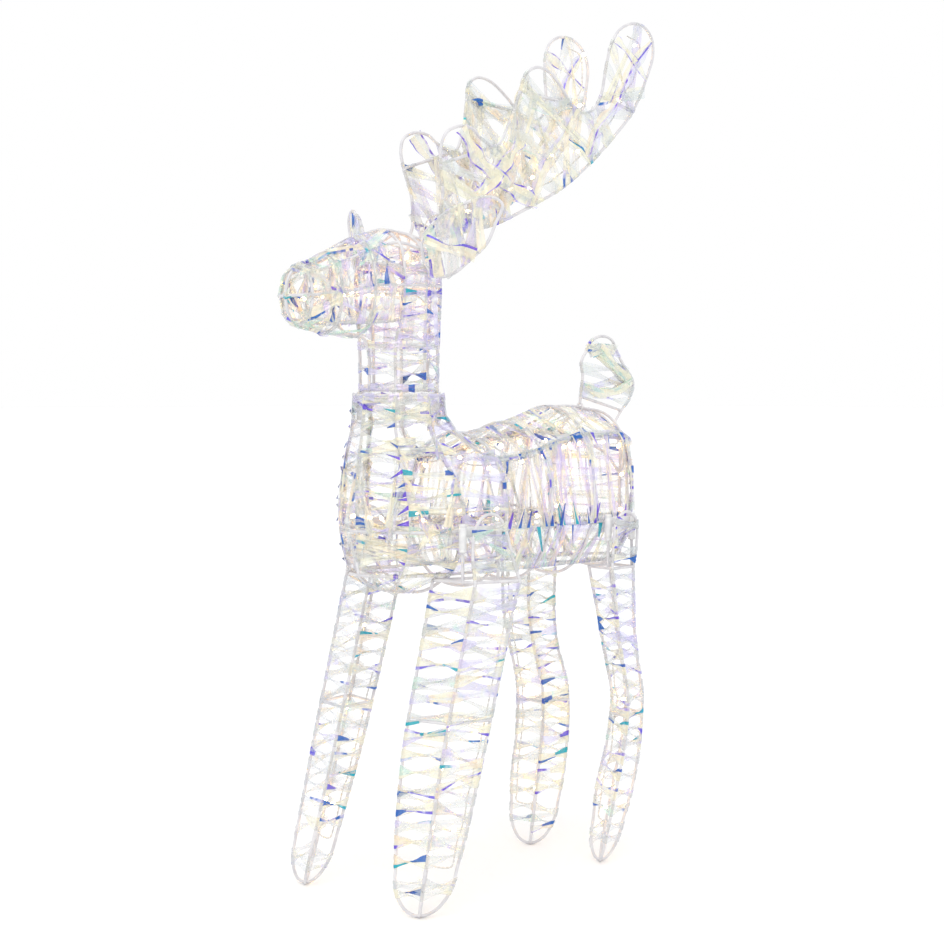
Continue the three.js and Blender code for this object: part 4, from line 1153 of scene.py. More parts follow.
def muzzle_film():
    shape = Shape()
    rng = random.Random(17)

    def stop(y, a):
        inside = vec(0, y, follow(MUZZLE_MIDDLE, y))
        return surface_stop(muzzle_at, min(max(y, -311), -162), a, inside, 2)

    def over_hoop(y, a):
        """A stop for film that runs lengthwise over a hoop."""
        at, _, out = stop(y, a)
        return at, heading(lambda degrees: muzzle_at(y, degrees), a), out

    def run(seed, stations, slant, width, mood, angles=range(0, 361, 45)):
        lines = []
        for y in stations:
            tilt = slant * rng.uniform(-1, 1)
            lines.append([stop(y + tilt * math.cos(math.radians(a)), a) for a in angles])
        rows(shape, seed, lines, width=width, mood=mood)

    run(81, (-303, -284, -264), 9, 20, GREENISH)
    run(82, (-242, -222, -202, -184), 12, 20, LILAC, range(-135, 136, 45))
    run(83, (-278,), 24, 18, GOLDEN)
    run(88, (-256, -206), 3, 15, PLAIN, range(0, 361, 20))
    run(84, (-215, -180), 20, 16, LILAC, range(-135, 136, 45))
    for n, a in enumerate((22, 68, 112, 158, -22, -68, -112, -158)):
        stations = (-300, -256, -206) if abs(a) > 140 else (-300, -256, -206, -163)
        line = [over_hoop(y, a + 12 * (-1) ** (k + n) + rng.uniform(-5, 5)) for k, y in enumerate(stations)]
        rows(shape, 300 + n, [line], width=19, mood=GREENISH if n % 2 else GOLDEN, pinch=(0.45, 0.9),
             turns=0.2)
    # over the nose
    for seed, a in ((85, 0), (86, 60), (87, 120)):
        turn = math.radians(a)
        way = vec(math.cos(turn), 0, math.sin(turn))
        side = vec(-math.sin(turn), 0, math.cos(turn))
        ribbon = Ribbon(shape, seed, width=11, mood=GREENISH, turns=0.2)
        middle = vec(0, -314, 806)
        for reach, out in ((-20, vec(0, -0.7, 0) - way * 0.7), (0, vec(0, -1, 0)),
                           (20, vec(0, -0.7, 0) + way * 0.7)):
            pull = vec(0, 4 if reach else -3.5, 0)
            ribbon.to(middle + way * reach + pull, side, out)
    return shape


def ear_film(side):
    shape = Shape()

    def at(s, z):
        return sided(on_ear(s, z), side)

    outline = [at(s, z) for s, z in EAR_OUTLINE]
    upper = outline[1:9]
    lower = [outline[0]] + outline[:7:-1]
    cuts = [((8, 896), (20, 838)), ((24, 913), (40, 838)), ((48, 926), (62, 855)), ((76, 936), (82, 868))]
    back = [((86, 936), (60, 852)), ((40, 922), (10, 842))]
    face = sided(EAR_FACE, side).normalized()
    for seed, pairs, mood in ((91, cuts, GOLDEN), (92, back, LILAC)):
        stops = [(at(*p), at(*q)) for p, q in pairs]
        lace(shape, seed + side, upper, lower, stops, face, width=20, mood=mood, pinch=(0.5, 0.9),
             turns=0.15)
    # a folded strip from the root to the lower edge, cream, with a painted violet sheen along its upper
    # edge
    fold = [(VIOLET, VIOLET), (CREAM, CREAM), (CREAM, PEACH), (CREAM, PEARL)]
    strip = [at(s, z) for s, z in ((3, 883), (30, 873), (54, 868), (74, 861))]
    if side < 0:
        strip.reverse()
    streamer(shape, 95, strip, 22, face, (-1, -0.66, -0.1, 0.5, 1), fold)
    return shape


def antler_film(side):
    shape = Shape()

    def at(y, z):
        return sided(on_antler(y, z), side)

    front = curve([at(y, z) for y, z in ANTLER_FRONT], step=5)
    rear = curve([at(y, z) for y, z in ANTLER_REAR], step=5)
    ties = [[at(*a), at(*b)] for a, b in ANTLER_TIES]
    face = vec(side, 0, -ANTLER_LEAN).normalized()

    def strand(seed, stops, **look):
        lace(shape, seed + 100 * side, *look.pop("edges", (front, rear)),
             [(at(*p), at(*q)) for p, q in stops], face, **look)

    down = [((-78, 925), (-30, 902)), ((-80, 972), (50, 925)), ((15, 1022), (96, 946)),
            ((45, 1085), (175, 992)), ((170, 1088), (240, 1048)), ((210, 1105), (296, 1122))]
    strand(111, down, width=24, mood=GOLDEN, pinch=(0.45, 0.9), turns=0.2)
    back = [((217, 1150), (280, 1092)), ((190, 1083), (212, 1020)), ((56, 1118), (146, 971)),
            ((-8, 1028), (24, 915)), ((-77, 935), (-56, 896))]
    strand(112, back, width=22, mood=PLAIN, pinch=(0.4, 0.85), turns=0.2)
    strand(113, [((-84, 990), (112, 953)), ((40, 1065), (36, 920)), ((54, 1108), (216, 1026))],
           width=19, mood=GOLDEN, pinch=(0.35, 0.8), turns=0.2)
    # lengthwise down the blade, from its tip to the ties
    strand(114, [((222, 1182), (276, 1096)), ((276, 1217), (226, 1106))], edges=(front, ties[2]), width=21,
           mood=GOLDEN, pinch=(0.4, 0.8), turns=0.2)
    strand(115, [((58, 1124), (62, 1098)), ((150, 1096), (140, 1093))], edges=(front, ties[1]), width=15,
           mood=PLAIN)
    strand(117, [((80, 1098), (30, 918)), ((140, 1092), (160, 980))], edges=(ties[1], rear), width=20,
           mood=GOLDEN, pinch=(0.4, 0.85), turns=0.2)
    strand(118, [((-70, 994), (-30, 902)), ((-20, 1010), (10, 911))], edges=(ties[0], rear), width=20,
           mood=PLAIN, pinch=(0.5, 0.9), turns=0.2)
    # wide strips over the lacing, each with its width, where its columns change and their tints; their
    # violet and navy edge columns are a painted sheen along the folds
    violet_line = (-1, -0.1, 0.1, 0.6, 1)
    violet_rims = (-1, -0.78, 0, 0.82, 1)
    lilac_cream = [(LAVENDER, CLEAR), (VIOLET, LAVENDER), (CREAM, CREAM), (CREAM, PEACH)]
    cream_lilac = [(CREAM, PEACH), (CREAM, CREAM), (VIOLET, LAVENDER), (LAVENDER, PEARL)]
    rimmed = [(VIOLET, LAVENDER), (CREAM, CREAM), (CREAM, PEARL), (LAVENDER, VIOLET)]
    pearl = [(PEARL, CLEAR), (PEARL, PEARL), (CLEAR, PEARL), (PEARL, MINT)]
    blue_rim = [(NAVY, TEAL), (CREAM, CREAM), (CREAM, PEARL), (PEARL, CLEAR)]
    hind_tine = [(304, 1196), (268, 1156), (253, 1124), (236, 1092), (211, 1066), (197, 1022)]
    strips = [
        (hind_tine, 24, violet_line, lilac_cream),
        ([(164, 1088), (138, 1044), (110, 1005), (90, 944)], 25, (-1, -0.4, 0.25, 0.42, 1), cream_lilac),
        ([(-55, 1040), (-21, 1003), (20, 981), (61, 963), (104, 950)], 25, violet_rims, rimmed),
        ([(58, 1034), (22, 988), (-14, 952)], 22, violet_rims, rimmed),
        ([(-17, 944), (-12, 908)], 17, violet_rims, rimmed[::-1]),
        ([(36, 1040), (78, 1028), (118, 1010)], 26, violet_rims, pearl),
        ([(54, 1098), (96, 1082), (150, 1095)], 24, violet_rims, pearl),
        ([(228, 1192), (262, 1172), (302, 1142)], 15, violet_rims, rimmed),
        ([(248, 1112), (302, 1122)], 16, violet_rims, pearl),
        ([(152, 1040), (180, 1028), (204, 1012)], 17, (-1, -0.5, 0, 0.8, 1), blue_rim),
        ([(-72, 912), (-52, 909), (-27, 907)], 13, violet_rims, [(VIOLET, LAVENDER)] * 4),
    ]
    for n, (run, width, marks, tints) in enumerate(strips):
        streamer(shape, 130 + n, [at(*q) for q in run], width, face, marks, tints)
    return shape


def tail_film():
    shape = Shape()
    outline = curve([on_tail(y, z) for y, z in TAIL_OUTLINE], step=4)
    near = outline[:len(outline) // 2]
    far = outline[len(outline) // 2:]
    one = [((232, 692), (340, 684)), ((234, 720), (333, 712)), ((246, 750), (310, 742))]
    two = [((250, 756), (336, 706)), ((231, 684), (330, 668))]
    for seed, pairs, mood in ((121, one, GOLDEN), (122, two, PLAIN)):
        lace(shape, seed, near, far, [(on_tail(*p), on_tail(*q)) for p, q in pairs], vec(1, 0, 0),
             width=19, mood=mood, pinch=(0.3, 0.7), turns=0.25)
    # the violet and teal columns at the strips' edges are a painted sheen along the folds
    rims = (-1, -0.8, 0, 0.8, 1)
    cream = [(CREAM, VIOLET), (CREAM, CREAM), (CREAM, MINT), (MINT, CREAM)]
    pearl = [(PEARL, CLEAR), (PEARL, PEARL), (CREAM, PEARL), (TEAL, CREAM)]
    strips = [
        ([(266, 750), (300, 722), (338, 698)], 19, cream),
        ([(342, 700), (304, 684), (266, 682), (233, 692)], 18, cream),
        ([(250, 740), (274, 748), (304, 744)], 20, pearl),
    ]
    for face in (vec(1, 0, 0), vec(-1, 0, 0)):
        for n, (run, width, tints) in enumerate(strips):
            streamer(shape, 141 + n, [on_tail(*q) for q in run], width, face, rims, tints)
    return shape


def leg_film(leg, side, seed, mood_top, mood_low, foot, sheen_face):
    shape = Shape()

    def corners(z):
        ring = []
        for i in range(4):
            way = heading(lambda level: leg_corner(leg, level, i), z, 4)
            ring.append((sided(leg_corner(leg, z, i), side), sided(way, side)))
        return ring

    rng = random.Random(seed)
    # two close windings, one above the other, then a loose one over both
    runs = [(422, 268, 5.6, 19, mood_top), (262, 70, 5.6, 19, mood_low), (402, 120, 17, 13, mood_low)]
    for n, (top, low, pitch, width, mood) in enumerate(runs):
        levels = []
        z = top
        while z > low:
            levels.append(z + rng.uniform(-2.2, 2.2))
            z -= pitch * rng.uniform(0.8, 1.2)
        winding(shape, seed * 10 + n, corners, levels, width=width, mood=mood, turns=0.5,
                sheen_face=sheen_face if n < 2 else None)
    winding(shape, seed * 10 + 5, corners, foot, width=14, mood=mood_low)
    # over the arch that stands on the body's side
    outer = [p for p, _ in corners(LEG_TOP_Z) if abs(p.x) > leg["prong_x"] - 8]
    a, b = outer[0], outer[-1]
    x = leg["arch_x"] * side
    rails = []
    for corner, share in ((a, 0.06), (b, 0.94)):
        y = mix(a.y, b.y, share)
        rails.append([corner, arch_foot(leg, corner), vec(x, y, 475), vec(x, y, leg["top"] - 12)])
    stops = [(vec(rails[0][1].x, a.y, z), vec(rails[1][1].x, b.y, z - slant))
             for z, slant in ((503, 10), (484, -8), (468, 16), (446, 4))]
    lace(shape, seed * 10 + 7, rails[0], rails[1], stops, vec(side, 0, 0), width=16, mood=PLAIN)
    return shape


# ---------- light strings ----------
STRING_DEPTH = 9  # how far inside the body's wires its strings run
BULB_OFFSET = 1.6  # from the middle of the leads to a lamp's own origin
BULB_SPACING = 30  # least distance of an extra lamp from the numbered ones


def twisted(shape, points, pitch=13.0):
    """Two thin conductors twisted round each other along a path."""
    run = curve(points, step=2.4)
    sides = frames(run, False)
    along = 0.0
    pair = ([], [])
    for i, p in enumerate(run):
        if i:
            along += (p - run[i - 1]).length
        a = 2 * math.pi * along / pitch
        u, w = sides[i]
        off = (u * math.cos(a) + w * math.sin(a)) * (LEAD_R + 0.05)
        pair[0].append(p + off)
        pair[1].append(p - off)
    for conductor in pair:
        tube(shape, conductor, LEAD_R, sides=6)
    return run


def light_bulb(shape, at, along):
    """Husk, lens and the lit die of one small lamp; slots 1, 2 and 3."""
    husk = [(-2.2, 1.1), (-1.6, 1.9), (0.4, 2.25), (3.6, 2.3), (4.2, 2.55), (4.8, 2.55)]
    lens = [(4.8, 2.2), (6.4, 2.35), (8.2, 2.25), (9.4, 1.9), (10.2, 1.3), (10.3, 0.7), (9.8, 0.3),
            (9.5, 0)]
    die = [(4.9, 1.5), (6.6, 1.55), (7.8, 1.2), (8.3, 0)]
    turned(shape, at, along, husk, slot=1)
    turned(shape, at, along, lens, slot=2)
    turned(shape, at, along, die, sides=10, slot=3)


def connector(shape, at):
    """Small round inline plug with grip ribs and a collar."""
    profile = [(-8, 1.4), (-7.6, 2.2), (-6.2, 2.5)]
    for k in range(4):
        low = -5.6 + 1.6 * k
        profile += [(low, 2.7), (low + 0.3, 3.2), (low + 0.8, 3.2), (low + 1.1, 2.7)]
    profile += [(1.2, 2.7), (1.5, 3.4), (4.2, 3.4), (4.6, 3.0), (6.6, 3.0), (7.4, 2.4), (8, 1.4)]
    turned(shape, at, vec(0, 0, 1), profile, sides=18, slot=1)


def light_string(knots, bulbs, inward, seed, side=1):
    """Leads through knots, with lamps at the numbered knots and between them."""
    rng = random.Random(seed)
    shape = Shape()
    knots = [sided(p, side) for p in knots]
    soft = []
    for a, b in zip(knots, knots[1:]):
        soft.append(a)
        length = (b - a).length
        if length > 45:
            for t in (0.33, 0.67):
                wander = vec(rng.uniform(-1, 1), rng.uniform(-1, 1), rng.uniform(-1.4, 0.4)) * 1.5
                soft.append(mix(a, b, t) + wander)
    soft.append(knots[-1])
    run = twisted(shape, soft)
    for i in bulbs:
        way = inward(knots[i]).normalized()
        light_bulb(shape, knots[i] + way * BULB_OFFSET, way)
    for n in range(len(bulbs)):
        p = run[int(len(run) * (n + 0.7) / (len(bulbs) + 0.7))]
        if all((p - knots[i]).length > BULB_SPACING for i in bulbs):
            lean = vec(*(rng.uniform(-1, 1) for _ in range(3))) * 0.5
            way = (inward(p).normalized() + lean).normalized()
            light_bulb(shape, p + way * BULB_OFFSET, way)
    connector(shape, knots[0])
    return shape


def body_string(side):
    def inside(stop):
        at, _, out = stop
        return at - out * STRING_DEPTH

    knots = [vec(30, -74, 612), vec(50, -50, 585)]
    knots += [inside(barrel_stop(y, SEAM + 2)) for y in (-20, 42, 87, 130, 163, 224, 262)]
    knots.append(vec(56, 270, 540))
    knots += [inside(barrel_stop(y, angle_at(y, RING_Z + 9))) for y in (250, 200, 130, 60, -20, -90)]
    knots += [inside(chest_stop(RING_Z + 12, a)) for a in (60, 24)]
    return light_string(knots, [2, 4, 6, 8, 10, 12, 13, 14, 16, 17],
                        lambda p: vec(-p.x, 0, BARREL_MIDDLE_Z - p.z), 201, side)


def head_string():
    half = [vec(36, -160, 812), vec(30, -205, 812), vec(24, -250, 808), vec(16, -284, 804)]
    knots = [vec(20, -100, 704), vec(26, -104, 740), vec(28, -104, 800), vec(38, -134, 812)] + half
    knots += [vec(0, -298, 802)] + mirrored(half)[::-1] + [vec(-40, NECK_Y, 812), vec(-26, -104, 836)]
    knots += [vec(0, -92, 856), vec(20, NECK_Y, 872), vec(0, -156, 882)]
    return light_string(knots, [2, 4, 6, 8, 10, 12, 14, 16],
                        lambda p: vec(-p.x, NECK_Y - p.y, 815.5 - p.z), 211)


def antler_string(side):
    run = [(-70, 900), (-52, 922), (-10, 930), (50, 945), (100, 966), (150, 992), (200, 1030), (240, 1070),
           (268, 1110), (288, 1150), (290, 1190), (262, 1200)]
    face = vec(1, 0, -ANTLER_LEAN).normalized()
    knots = [on_antler(y, z) - face * 8 for y, z in run]
    away = vec(-side, 0, ANTLER_LEAN)
    return light_string(knots, [2, 5, 8, 10], lambda p: away, 221, side)


def leg_string(leg, side, seed):
    def inside(z, i):
        p, middle = leg_corner(leg, z, i), leg_middle(leg, z)
        return p - (p - middle).normalized() * 8

    knots = [inside(z, 0) for z in (412, 350, 300, 235, 170, 110, 64)]
    knots += [inside(z, 3) for z in (64, 110, 170, 235, 290)]

    def inward(p):
        middle = leg_middle(leg, p.z)
        return vec((middle.x * side - p.x), middle.y - p.y, 0)

    return light_string(knots, [1, 3, 5, 8, 10], inward, seed, side)


# ---------- sleeves ----------
LONG_SLEEVE = 33  # the legs' sleeves are longer than this, the antlers' are shorter
LONG_STRAP = (20, 34)  # height of the strap's edges above the sleeves' lower ends
SHORT_STRAP = (11, 23)


def pipe(shape, x, y, low, high):
    """Open tube with rounded rims."""
    # (distance from the end, radius) of one half: rim, outer edge, then a shallow groove
    half = [(0.5, SLEEVE_IN), (0, SLEEVE_IN + 0.5), (0, SLEEVE_OUT - 0.6), (0.6, SLEEVE_OUT),
            (3.4, SLEEVE_OUT), (3.8, SLEEVE_OUT - 0.35), (4.6, SLEEVE_OUT - 0.35), (5, SLEEVE_OUT)]
    profile = [(low + d, r) for d, r in half] + [(high - d, r) for d, r in half[::-1]]
    sides = 28
    first = len(shape.points)
    for z, r in profile:
        for k in range(sides):
            a = 2 * math.pi * k / sides
            shape.points.append(vec(x + r * math.cos(a), y + r * math.sin(a), z))
    for i in range(len(profile)):
        j = (i + 1) % len(profile)
        for k in range(sides):
            a, b = first + i * sides + k, first + i * sides + (k + 1) % sides
            c, d = first + j * sides + (k + 1) % sides, first + j * sides + k
            shape.face([a, b, c, d])


def plate(shape, low, high, edge=0.5):
    """Flat bar with chamfered edges."""
    first = len(shape.points)
    for z, inset in ((low.z, edge), (low.z + edge, 0), (high.z - edge, 0), (high.z, edge)):
        x0, x1 = low.x + inset, high.x - inset
        y0, y1 = low.y + inset, high.y - inset
        cut = min(edge, (high.x - low.x) / 3)
        for x, y in ((x0 + cut, y0), (x1 - cut, y0), (x1, y0 + cut), (x1, y1 - cut), (x1 - cut, y1),
                     (x0 + cut, y1), (x0, y1 - cut), (x0, y0 + cut)):
            shape.points.append(vec(x, y, z))
    for i in range(3):
        for k in range(8):
            a, b = first + 8 * i + k, first + 8 * i + (k + 1) % 8
            shape.face([a, b, b + 8, a + 8])
    shape.face([first + k for k in reversed(range(8))])
    shape.face([first + 24 + k for k in range(8)])


def sleeve_shape(node):
    """One sleeve, or two held by a strap, in the place of the CAD node."""
    low, high = (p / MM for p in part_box(node))
    shape = Shape()
    x = (low.x + high.x) / 2
    ends = [low.y + SLEEVE_OUT - SHIFT_Y, high.y - SLEEVE_OUT - SHIFT_Y]
    if ends[1] - ends[0] < 1:
        pipe(shape, x, (ends[0] + ends[1]) / 2, low.z, high.z)
        return shape
    for y in ends:
        pipe(shape, x, y, low.z, high.z)
    strap = LONG_STRAP if high.z - low.z > LONG_SLEEVE else SHORT_STRAP
    bottom, top = (low.z + z for z in strap)
    inset = SLEEVE_IN + 1
    plate(shape, vec(x - 1, ends[0] + inset, bottom), vec(x + 1, ends[1] - inset, top))
    for y, way in ((ends[0], 1), (ends[1], -1)):
        for z in (bottom + 1, top - 1):
            blob(shape, vec(x, y + way * (SLEEVE_OUT + 0.1), z), 1.5)
    return shape


# ---------- materials ----------
class Nodes:
    """Short hand for building a node material."""

    def __init__(self, name):
        self.material = bpy.data.materials.new(name)
        self.material.use_nodes = True
        self.tree = self.material.node_tree
        self.shader = self.tree.nodes["Principled BSDF"]

    def add(self, kind, **settings):
        node = self.tree.nodes.new(kind)
        for key, value in settings.items():
            if key in node.inputs:
                node.inputs[key].default_value = value
            else:
                setattr(node, key, value)
        return node

    def link(self, source, target):
        self.tree.links.new(source, target)

    def set(self, **values):
        for key, value in values.items():
            self.shader.inputs[key.replace("_", " ")].default_value = value

    def noise(self, scale, detail=3.0, rough=0.5, stretch=None):
        place = self.add("ShaderNodeTexCoord")
        source = place.outputs["Object"]
        if stretch:
            mapping = self.add("ShaderNodeMapping")
            mapping.inputs["Scale"].default_value = stretch
            self.link(source, mapping.inputs["Vector"])
            source = mapping.outputs["Vector"]
        node = self.add("ShaderNodeTexNoise", Scale=scale, Detail=detail, Roughness=rough)
        self.link(source, node.inputs["Vector"])
        return node.outputs["Fac"]

    def ramp(self, source, stops):
        node = self.add("ShaderNodeValToRGB")
        marks = node.color_ramp.elements
        while len(marks) < len(stops):
            marks.new(0.5)
        for mark, (position, colour) in zip(marks, stops):
            mark.position = position
            mark.color = colour if len(colour) == 4 else (*colour, 1)
        self.link(source, node.inputs["Fac"])
        return node.outputs["Color"]

    def scale(self, source, low, high, first=0.0, last=1.0):
        node = self.add("ShaderNodeMapRange")
        for key, value in (("From Min", first), ("From Max", last), ("To Min", low), ("To Max", high)):
            node.inputs[key].default_value = value
        self.link(source, node.inputs["Value"])
        return node.outputs["Result"]

    def maths(self, kind, a, b):
        node = self.add("ShaderNodeMath", operation=kind)
        for slot_number, value in enumerate((a, b)):
            if isinstance(value, (int, float)):
                node.inputs[slot_number].default_value = value
            else:
                self.link(value, node.inputs[slot_number])
        return node.outputs["Value"]

    def blend(self, kind, factor, a, b):
        node = self.add("ShaderNodeMix", data_type="RGBA", blend_type=kind)
        for slot_number, value in ((0, factor), (6, a), (7, b)):
            if isinstance(value, (int, float, tuple)):
                node.inputs[slot_number].default_value = value
            else:
                self.link(value, node.inputs[slot_number])
        return node.outputs[2]

    def bump(self, height, strength, distance):
        node = self.add("ShaderNodeBump", Strength=strength, Distance=distance)
        self.link(height, node.inputs["Height"])
        self.link(node.outputs["Normal"], self.shader.inputs["Normal"])

    def into(self, source, name):
        self.link(source, self.shader.inputs[name])


def mottled(name, grain, colours, rough, bump=None, target="Base Color"):
    """Material with a cloudy colour, an uneven roughness and a fine bump."""
    m = Nodes(name)
    m.into(m.ramp(m.noise(*grain), colours), target)
    scale, detail, low, high = rough
    m.into(m.scale(m.noise(scale, detail), low, high), "Roughness")
    if bump:
        fine, strength, distance = bump
        m.bump(m.noise(*fine), strength, distance)
    return m


def wire_material():
    greys = [(0.3, (0.60, 0.59, 0.62)), (0.55, (0.70, 0.69, 0.71)), (0.8, (0.78, 0.77, 0.77))]
    m = mottled("coated_wire", (70, 4), greys, (420, 2, 0.26, 0.52), ((900, 3, 0.6), 0.22, 0.0006))
    m.set(Coat_Weight=0.25, Coat_Roughness=0.2, Specular_IOR_Level=0.5)
    return m.material


def film_material():
    m = Nodes("ribbon_film")
    tint = m.add("ShaderNodeAttribute", attribute_name="tint")
    under = m.add("ShaderNodeAttribute", attribute_name="undertint")
    cloud = m.scale(m.noise(62, 2, 0.5), 0.0, 1.0, 0.42, 0.60)
    colour = m.blend("MIX", cloud, tint.outputs["Color"], under.outputs["Color"])
    streak = m.noise(240, 3, 0.6, (1.0, 1.0, 0.35))
    shades = [(0.3, (0.80, 0.82, 0.90)), (0.5, (0.96, 0.96, 0.97)), (0.72, (1.0, 0.985, 0.95))]
    shade = m.ramp(streak, shades)
    m.into(m.blend("MULTIPLY", 1.0, colour, shade), "Base Color")
    held = m.add("ShaderNodeMix", data_type="FLOAT")
    m.link(cloud, held.inputs[0])
    m.link(tint.outputs["Alpha"], held.inputs[2])
    m.link(under.outputs["Alpha"], held.inputs[3])
    m.into(m.maths("MULTIPLY", held.outputs[0], m.scale(streak, 0.82, 1.08)), "Alpha")
    m.into(m.scale(m.noise(160, 3), 0.06, 0.30, 0.3, 0.7), "Roughness")
    m.into(m.scale(streak, 0.12, 0.42, 0.35, 0.65), "Metallic")
    m.bump(m.maths("ADD", m.noise(190, 2), m.maths("MULTIPLY", m.noise(620, 2), 0.3)), 0.45, 0.0011)
    m.set(IOR=1.62, Specular_IOR_Level=0.8, Coat_Weight=0.35, Coat_Roughness=0.06,
          Thin_Film_Thickness=430.0, Thin_Film_IOR=1.38)
    return m.material


def lead_material():
    clear = [(0.35, (0.74, 0.73, 0.70)), (0.65, (0.88, 0.87, 0.84))]
    m = mottled("clear_lead", (300, 2), clear, (500, 2, 0.18, 0.34), ((1400, 2), 0.15, 0.0003))
    m.set(Alpha=0.72, Coat_Weight=0.4, Coat_Roughness=0.1)
    return m.material


def husk_material():
    clear = [(0.35, (0.86, 0.85, 0.82)), (0.7, (0.96, 0.95, 0.92))]
    m = mottled("clear_husk", (450, 2), clear, (700, 3, 0.14, 0.30), ((1600, 2), 0.12, 0.0003))
    m.set(Alpha=0.86, Coat_Weight=0.5, Coat_Roughness=0.05)
    return m.material


def lens_material():
    warm = [(0.3, (1.0, 0.86, 0.62)), (0.7, (1.0, 0.93, 0.78))]
    glow = [(0.3, (1.0, 0.50, 0.17)), (0.7, (1.0, 0.62, 0.28))]
    m = mottled("warm_lens", (500, 2), warm, (900, 2, 0.05, 0.16), ((1500, 2), 0.08, 0.0002))
    m.into(m.ramp(m.noise(380, 2), glow), "Emission Color")
    m.set(Emission_Strength=40.0, Alpha=0.85, Coat_Weight=0.6, Coat_Roughness=0.03)
    return m.material


def die_material():
    glow = [(0.3, (1.0, 0.70, 0.34)), (0.7, (1.0, 0.84, 0.55))]
    m = mottled("lit_die", (600, 2), glow, (900, 2, 0.3, 0.5), target="Emission Color")
    m.set(Base_Color=(1.0, 0.85, 0.6, 1), Emission_Strength=60.0)
    return m.material


def sleeve_material():
    greys = [(0.3, (0.70, 0.70, 0.71)), (0.6, (0.80, 0.80, 0.80)), (0.85, (0.86, 0.855, 0.84))]
    m = mottled("socket_steel", (110, 4), greys, (500, 3, 0.24, 0.46), ((1000, 3), 0.2, 0.0005))
    m.set(Coat_Weight=0.3, Coat_Roughness=0.15)
    return m.material


def floor_material():
    m = Nodes("pale_floor")
    m.into(m.ramp(m.noise(2.5, 3), [(0.3, (0.93, 0.93, 0.93)), (0.7, (0.95, 0.95, 0.948))]), "Base Color")
    m.set(Roughness=0.75, Specular_IOR_Level=0.2)
    return m.material


# ---------- the object ----------
WIRE = [wire_material()]
FILM = [film_material()]
LIGHTS = [lead_material(), husk_material(), lens_material(), die_material()]
SLEEVE = [sleeve_material()]


def wires(name, body, node, list_of, side=1, thin=()):
    wire_shape(list_of, side, thin).make(name, body, [node], WIRE, "coated_wire")


def film(name, body, node, shape):
    shape.make(name, body, [node], FILM, "ribbon_film", soft=False)


def lights(name, body, node, shape):
    shape.make(name, body, [node], LIGHTS, "string_lights")


wires("body_cage", "body", "body_frame", body_wires())
film("back_ribbons", "body", "back_film", back_film())
film("chest_ribbons", "body", "chest_film", chest_film())
film("rump_ribbons", "body", "rump_film", rump_film())
wires("head_cage", "head", "head_frame", head_wires())
film("muzzle_ribbons", "head", "muzzle_film", muzzle_film())
film("crown_ribbons", "head", "crown_film", crown_film())
film("neck_ribbons", "head", "upper_neck_film", upper_neck_film())
lights("head_string", "head", "head_lights", head_string())
wires("tail_loop", "tail", "tail_frame", tail_wires(), thin=[eye_points(eye) for eye in TAIL_EYES])
film("tail_ribbons", "tail", "tail_film", tail_film())

FOOT_LEVELS = {"front": [46 - 2.6 * i for i in range(8)], "rear": [56 - 4.2 * i for i in range(8)]}
# the face of each leg, counted from its first upright, on which the windings carry the most painted sheen
PAINTED_SHEEN_FACES = {"front_leg_left": 1, "front_leg_right": 2, "rear_leg_left": 3, "rear_leg_right": 2}

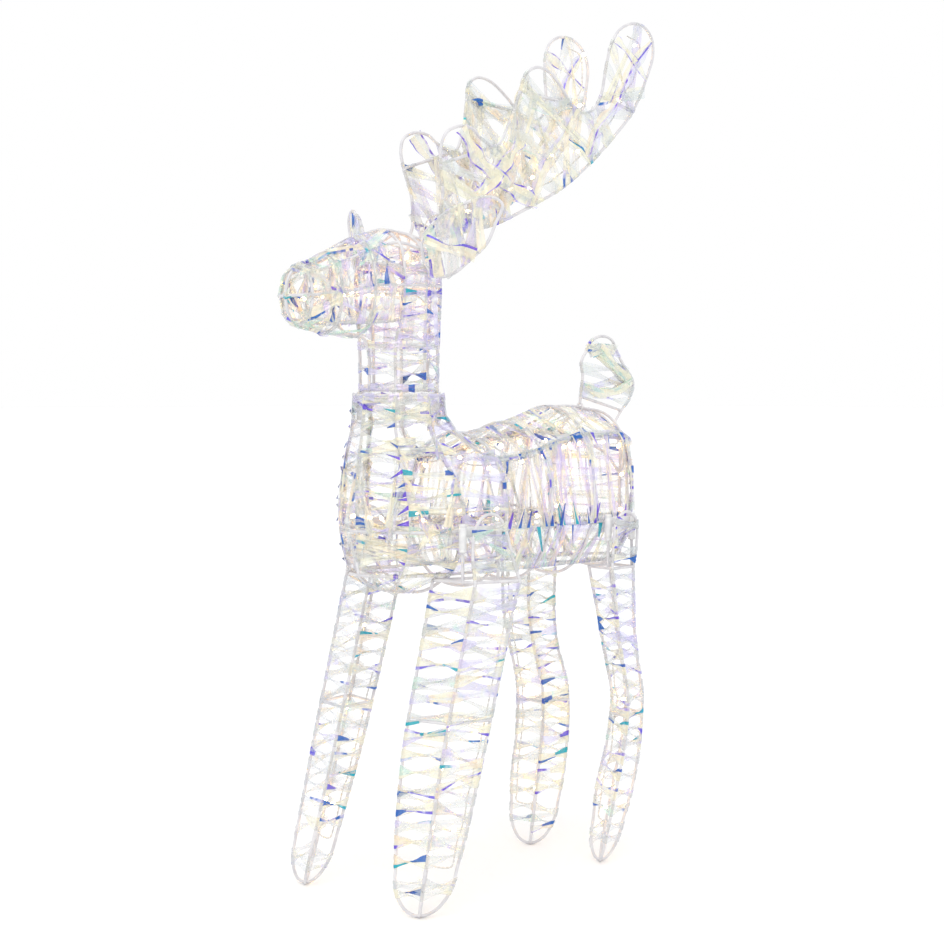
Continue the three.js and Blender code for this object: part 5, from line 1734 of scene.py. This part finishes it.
for side, word in ((1, "left"), (-1, "right")):
    film(f"side_ribbons_{word}", "body", f"side_film_{word}", side_film(side))
    lights(f"body_string_{word}", "body", f"body_lights_{word}", body_string(side))
    wires(f"ear_loop_{word}", "head", f"ear_frame_{word}", ear_wires(), side)
    film(f"ear_ribbons_{word}", "head", f"ear_film_{word}", ear_film(side))
    wires(f"antler_{word}_wires", f"antler_{word}", f"antler_frame_{word}", antler_wires(), side)
    film(f"antler_{word}_ribbons", f"antler_{word}", f"antler_film_{word}", antler_film(side))
    lights(f"antler_{word}_string", f"antler_{word}", f"antler_lights_{word}", antler_string(side))
    for end, leg, first_seed in (("front", FRONT_LEG, 31), ("rear", REAR_LEG, 33)):
        name = f"{end}_leg_{word}"
        seed = first_seed if side > 0 else first_seed + 1
        top = LILAC if side > 0 else PLAIN
        wires(f"{name}_wires", name, f"{end}_leg_frame_{word}", leg_wires(leg), side)
        film(f"{name}_ribbons", name, f"{end}_leg_film_{word}",
             leg_film(leg, side, seed, top, PLAIN, FOOT_LEVELS[end], PAINTED_SHEEN_FACES[name]))
        lights(f"{name}_string", name, f"{end}_leg_lights_{word}", leg_string(leg, side, seed))
    for node, body in ((f"neck_sleeve_front_{word}", "body"), (f"neck_sleeve_rear_{word}", "body"),
                       (f"front_leg_socket_{word}", "body"), (f"rear_leg_socket_{word}", "body"),
                       (f"antler_socket_{word}", "head")):
        sleeve_shape(node).make(f"{node}_tube", body, [node], SLEEVE, "socket_steel")


# ---------- stage, light and camera ----------
def stage():
    mesh = bpy.data.meshes.new("floor")
    reach = 80.0
    z = cad_low.z
    mesh.from_pydata([(-reach, -reach, z), (reach, -reach, z), (reach, reach, z), (-reach, reach, z)], [],
                     [(0, 1, 2, 3)])
    mesh.materials.append(floor_material())
    floor = bpy.data.objects.new("floor", mesh)
    bpy.context.scene.collection.objects.link(floor)
    world = bpy.data.worlds.new("studio")
    world.use_nodes = True
    world.node_tree.nodes["Background"].inputs["Color"].default_value = (1.0, 1.0, 1.0, 1)
    world.node_tree.nodes["Background"].inputs["Strength"].default_value = 1.0
    bpy.context.scene.world = world
    bpy.context.scene.view_settings.view_transform = "Standard"


def soft_sun(place, aim, strength, spread):
    """Broad even light, as from a large white panel far off."""
    data = bpy.data.lights.new("panel", "SUN")
    data.energy = strength
    data.angle = math.radians(spread)
    lamp = bpy.data.objects.new("panel", data)
    lamp.location = place
    lamp.rotation_euler = (aim - Vector(place)).to_track_quat("-Z", "Y").to_euler()
    bpy.context.scene.collection.objects.link(lamp)


def camera(azimuth, elevation, distance, lens, aim):
    a, e = math.radians(azimuth), math.radians(elevation)
    back = Vector((math.sin(a) * math.cos(e), -math.cos(a) * math.cos(e), math.sin(e)))
    data = bpy.data.cameras.new("camera")
    data.lens = lens
    data.sensor_width = 36
    eye = bpy.data.objects.new("camera", data)
    eye.location = aim + back * distance
    eye.rotation_euler = (-back).to_track_quat("-Z", "Y").to_euler()
    bpy.context.scene.collection.objects.link(eye)
    bpy.context.scene.camera = eye


middle = (cad_low + cad_high) / 2
stage()
soft_sun((1.2, -1.6, 3.2), middle, 0.8, 50)
camera(46.8, 2.3, 2.691, 73.3, middle + Vector((0.0064, -0.0112, -0.0389)))
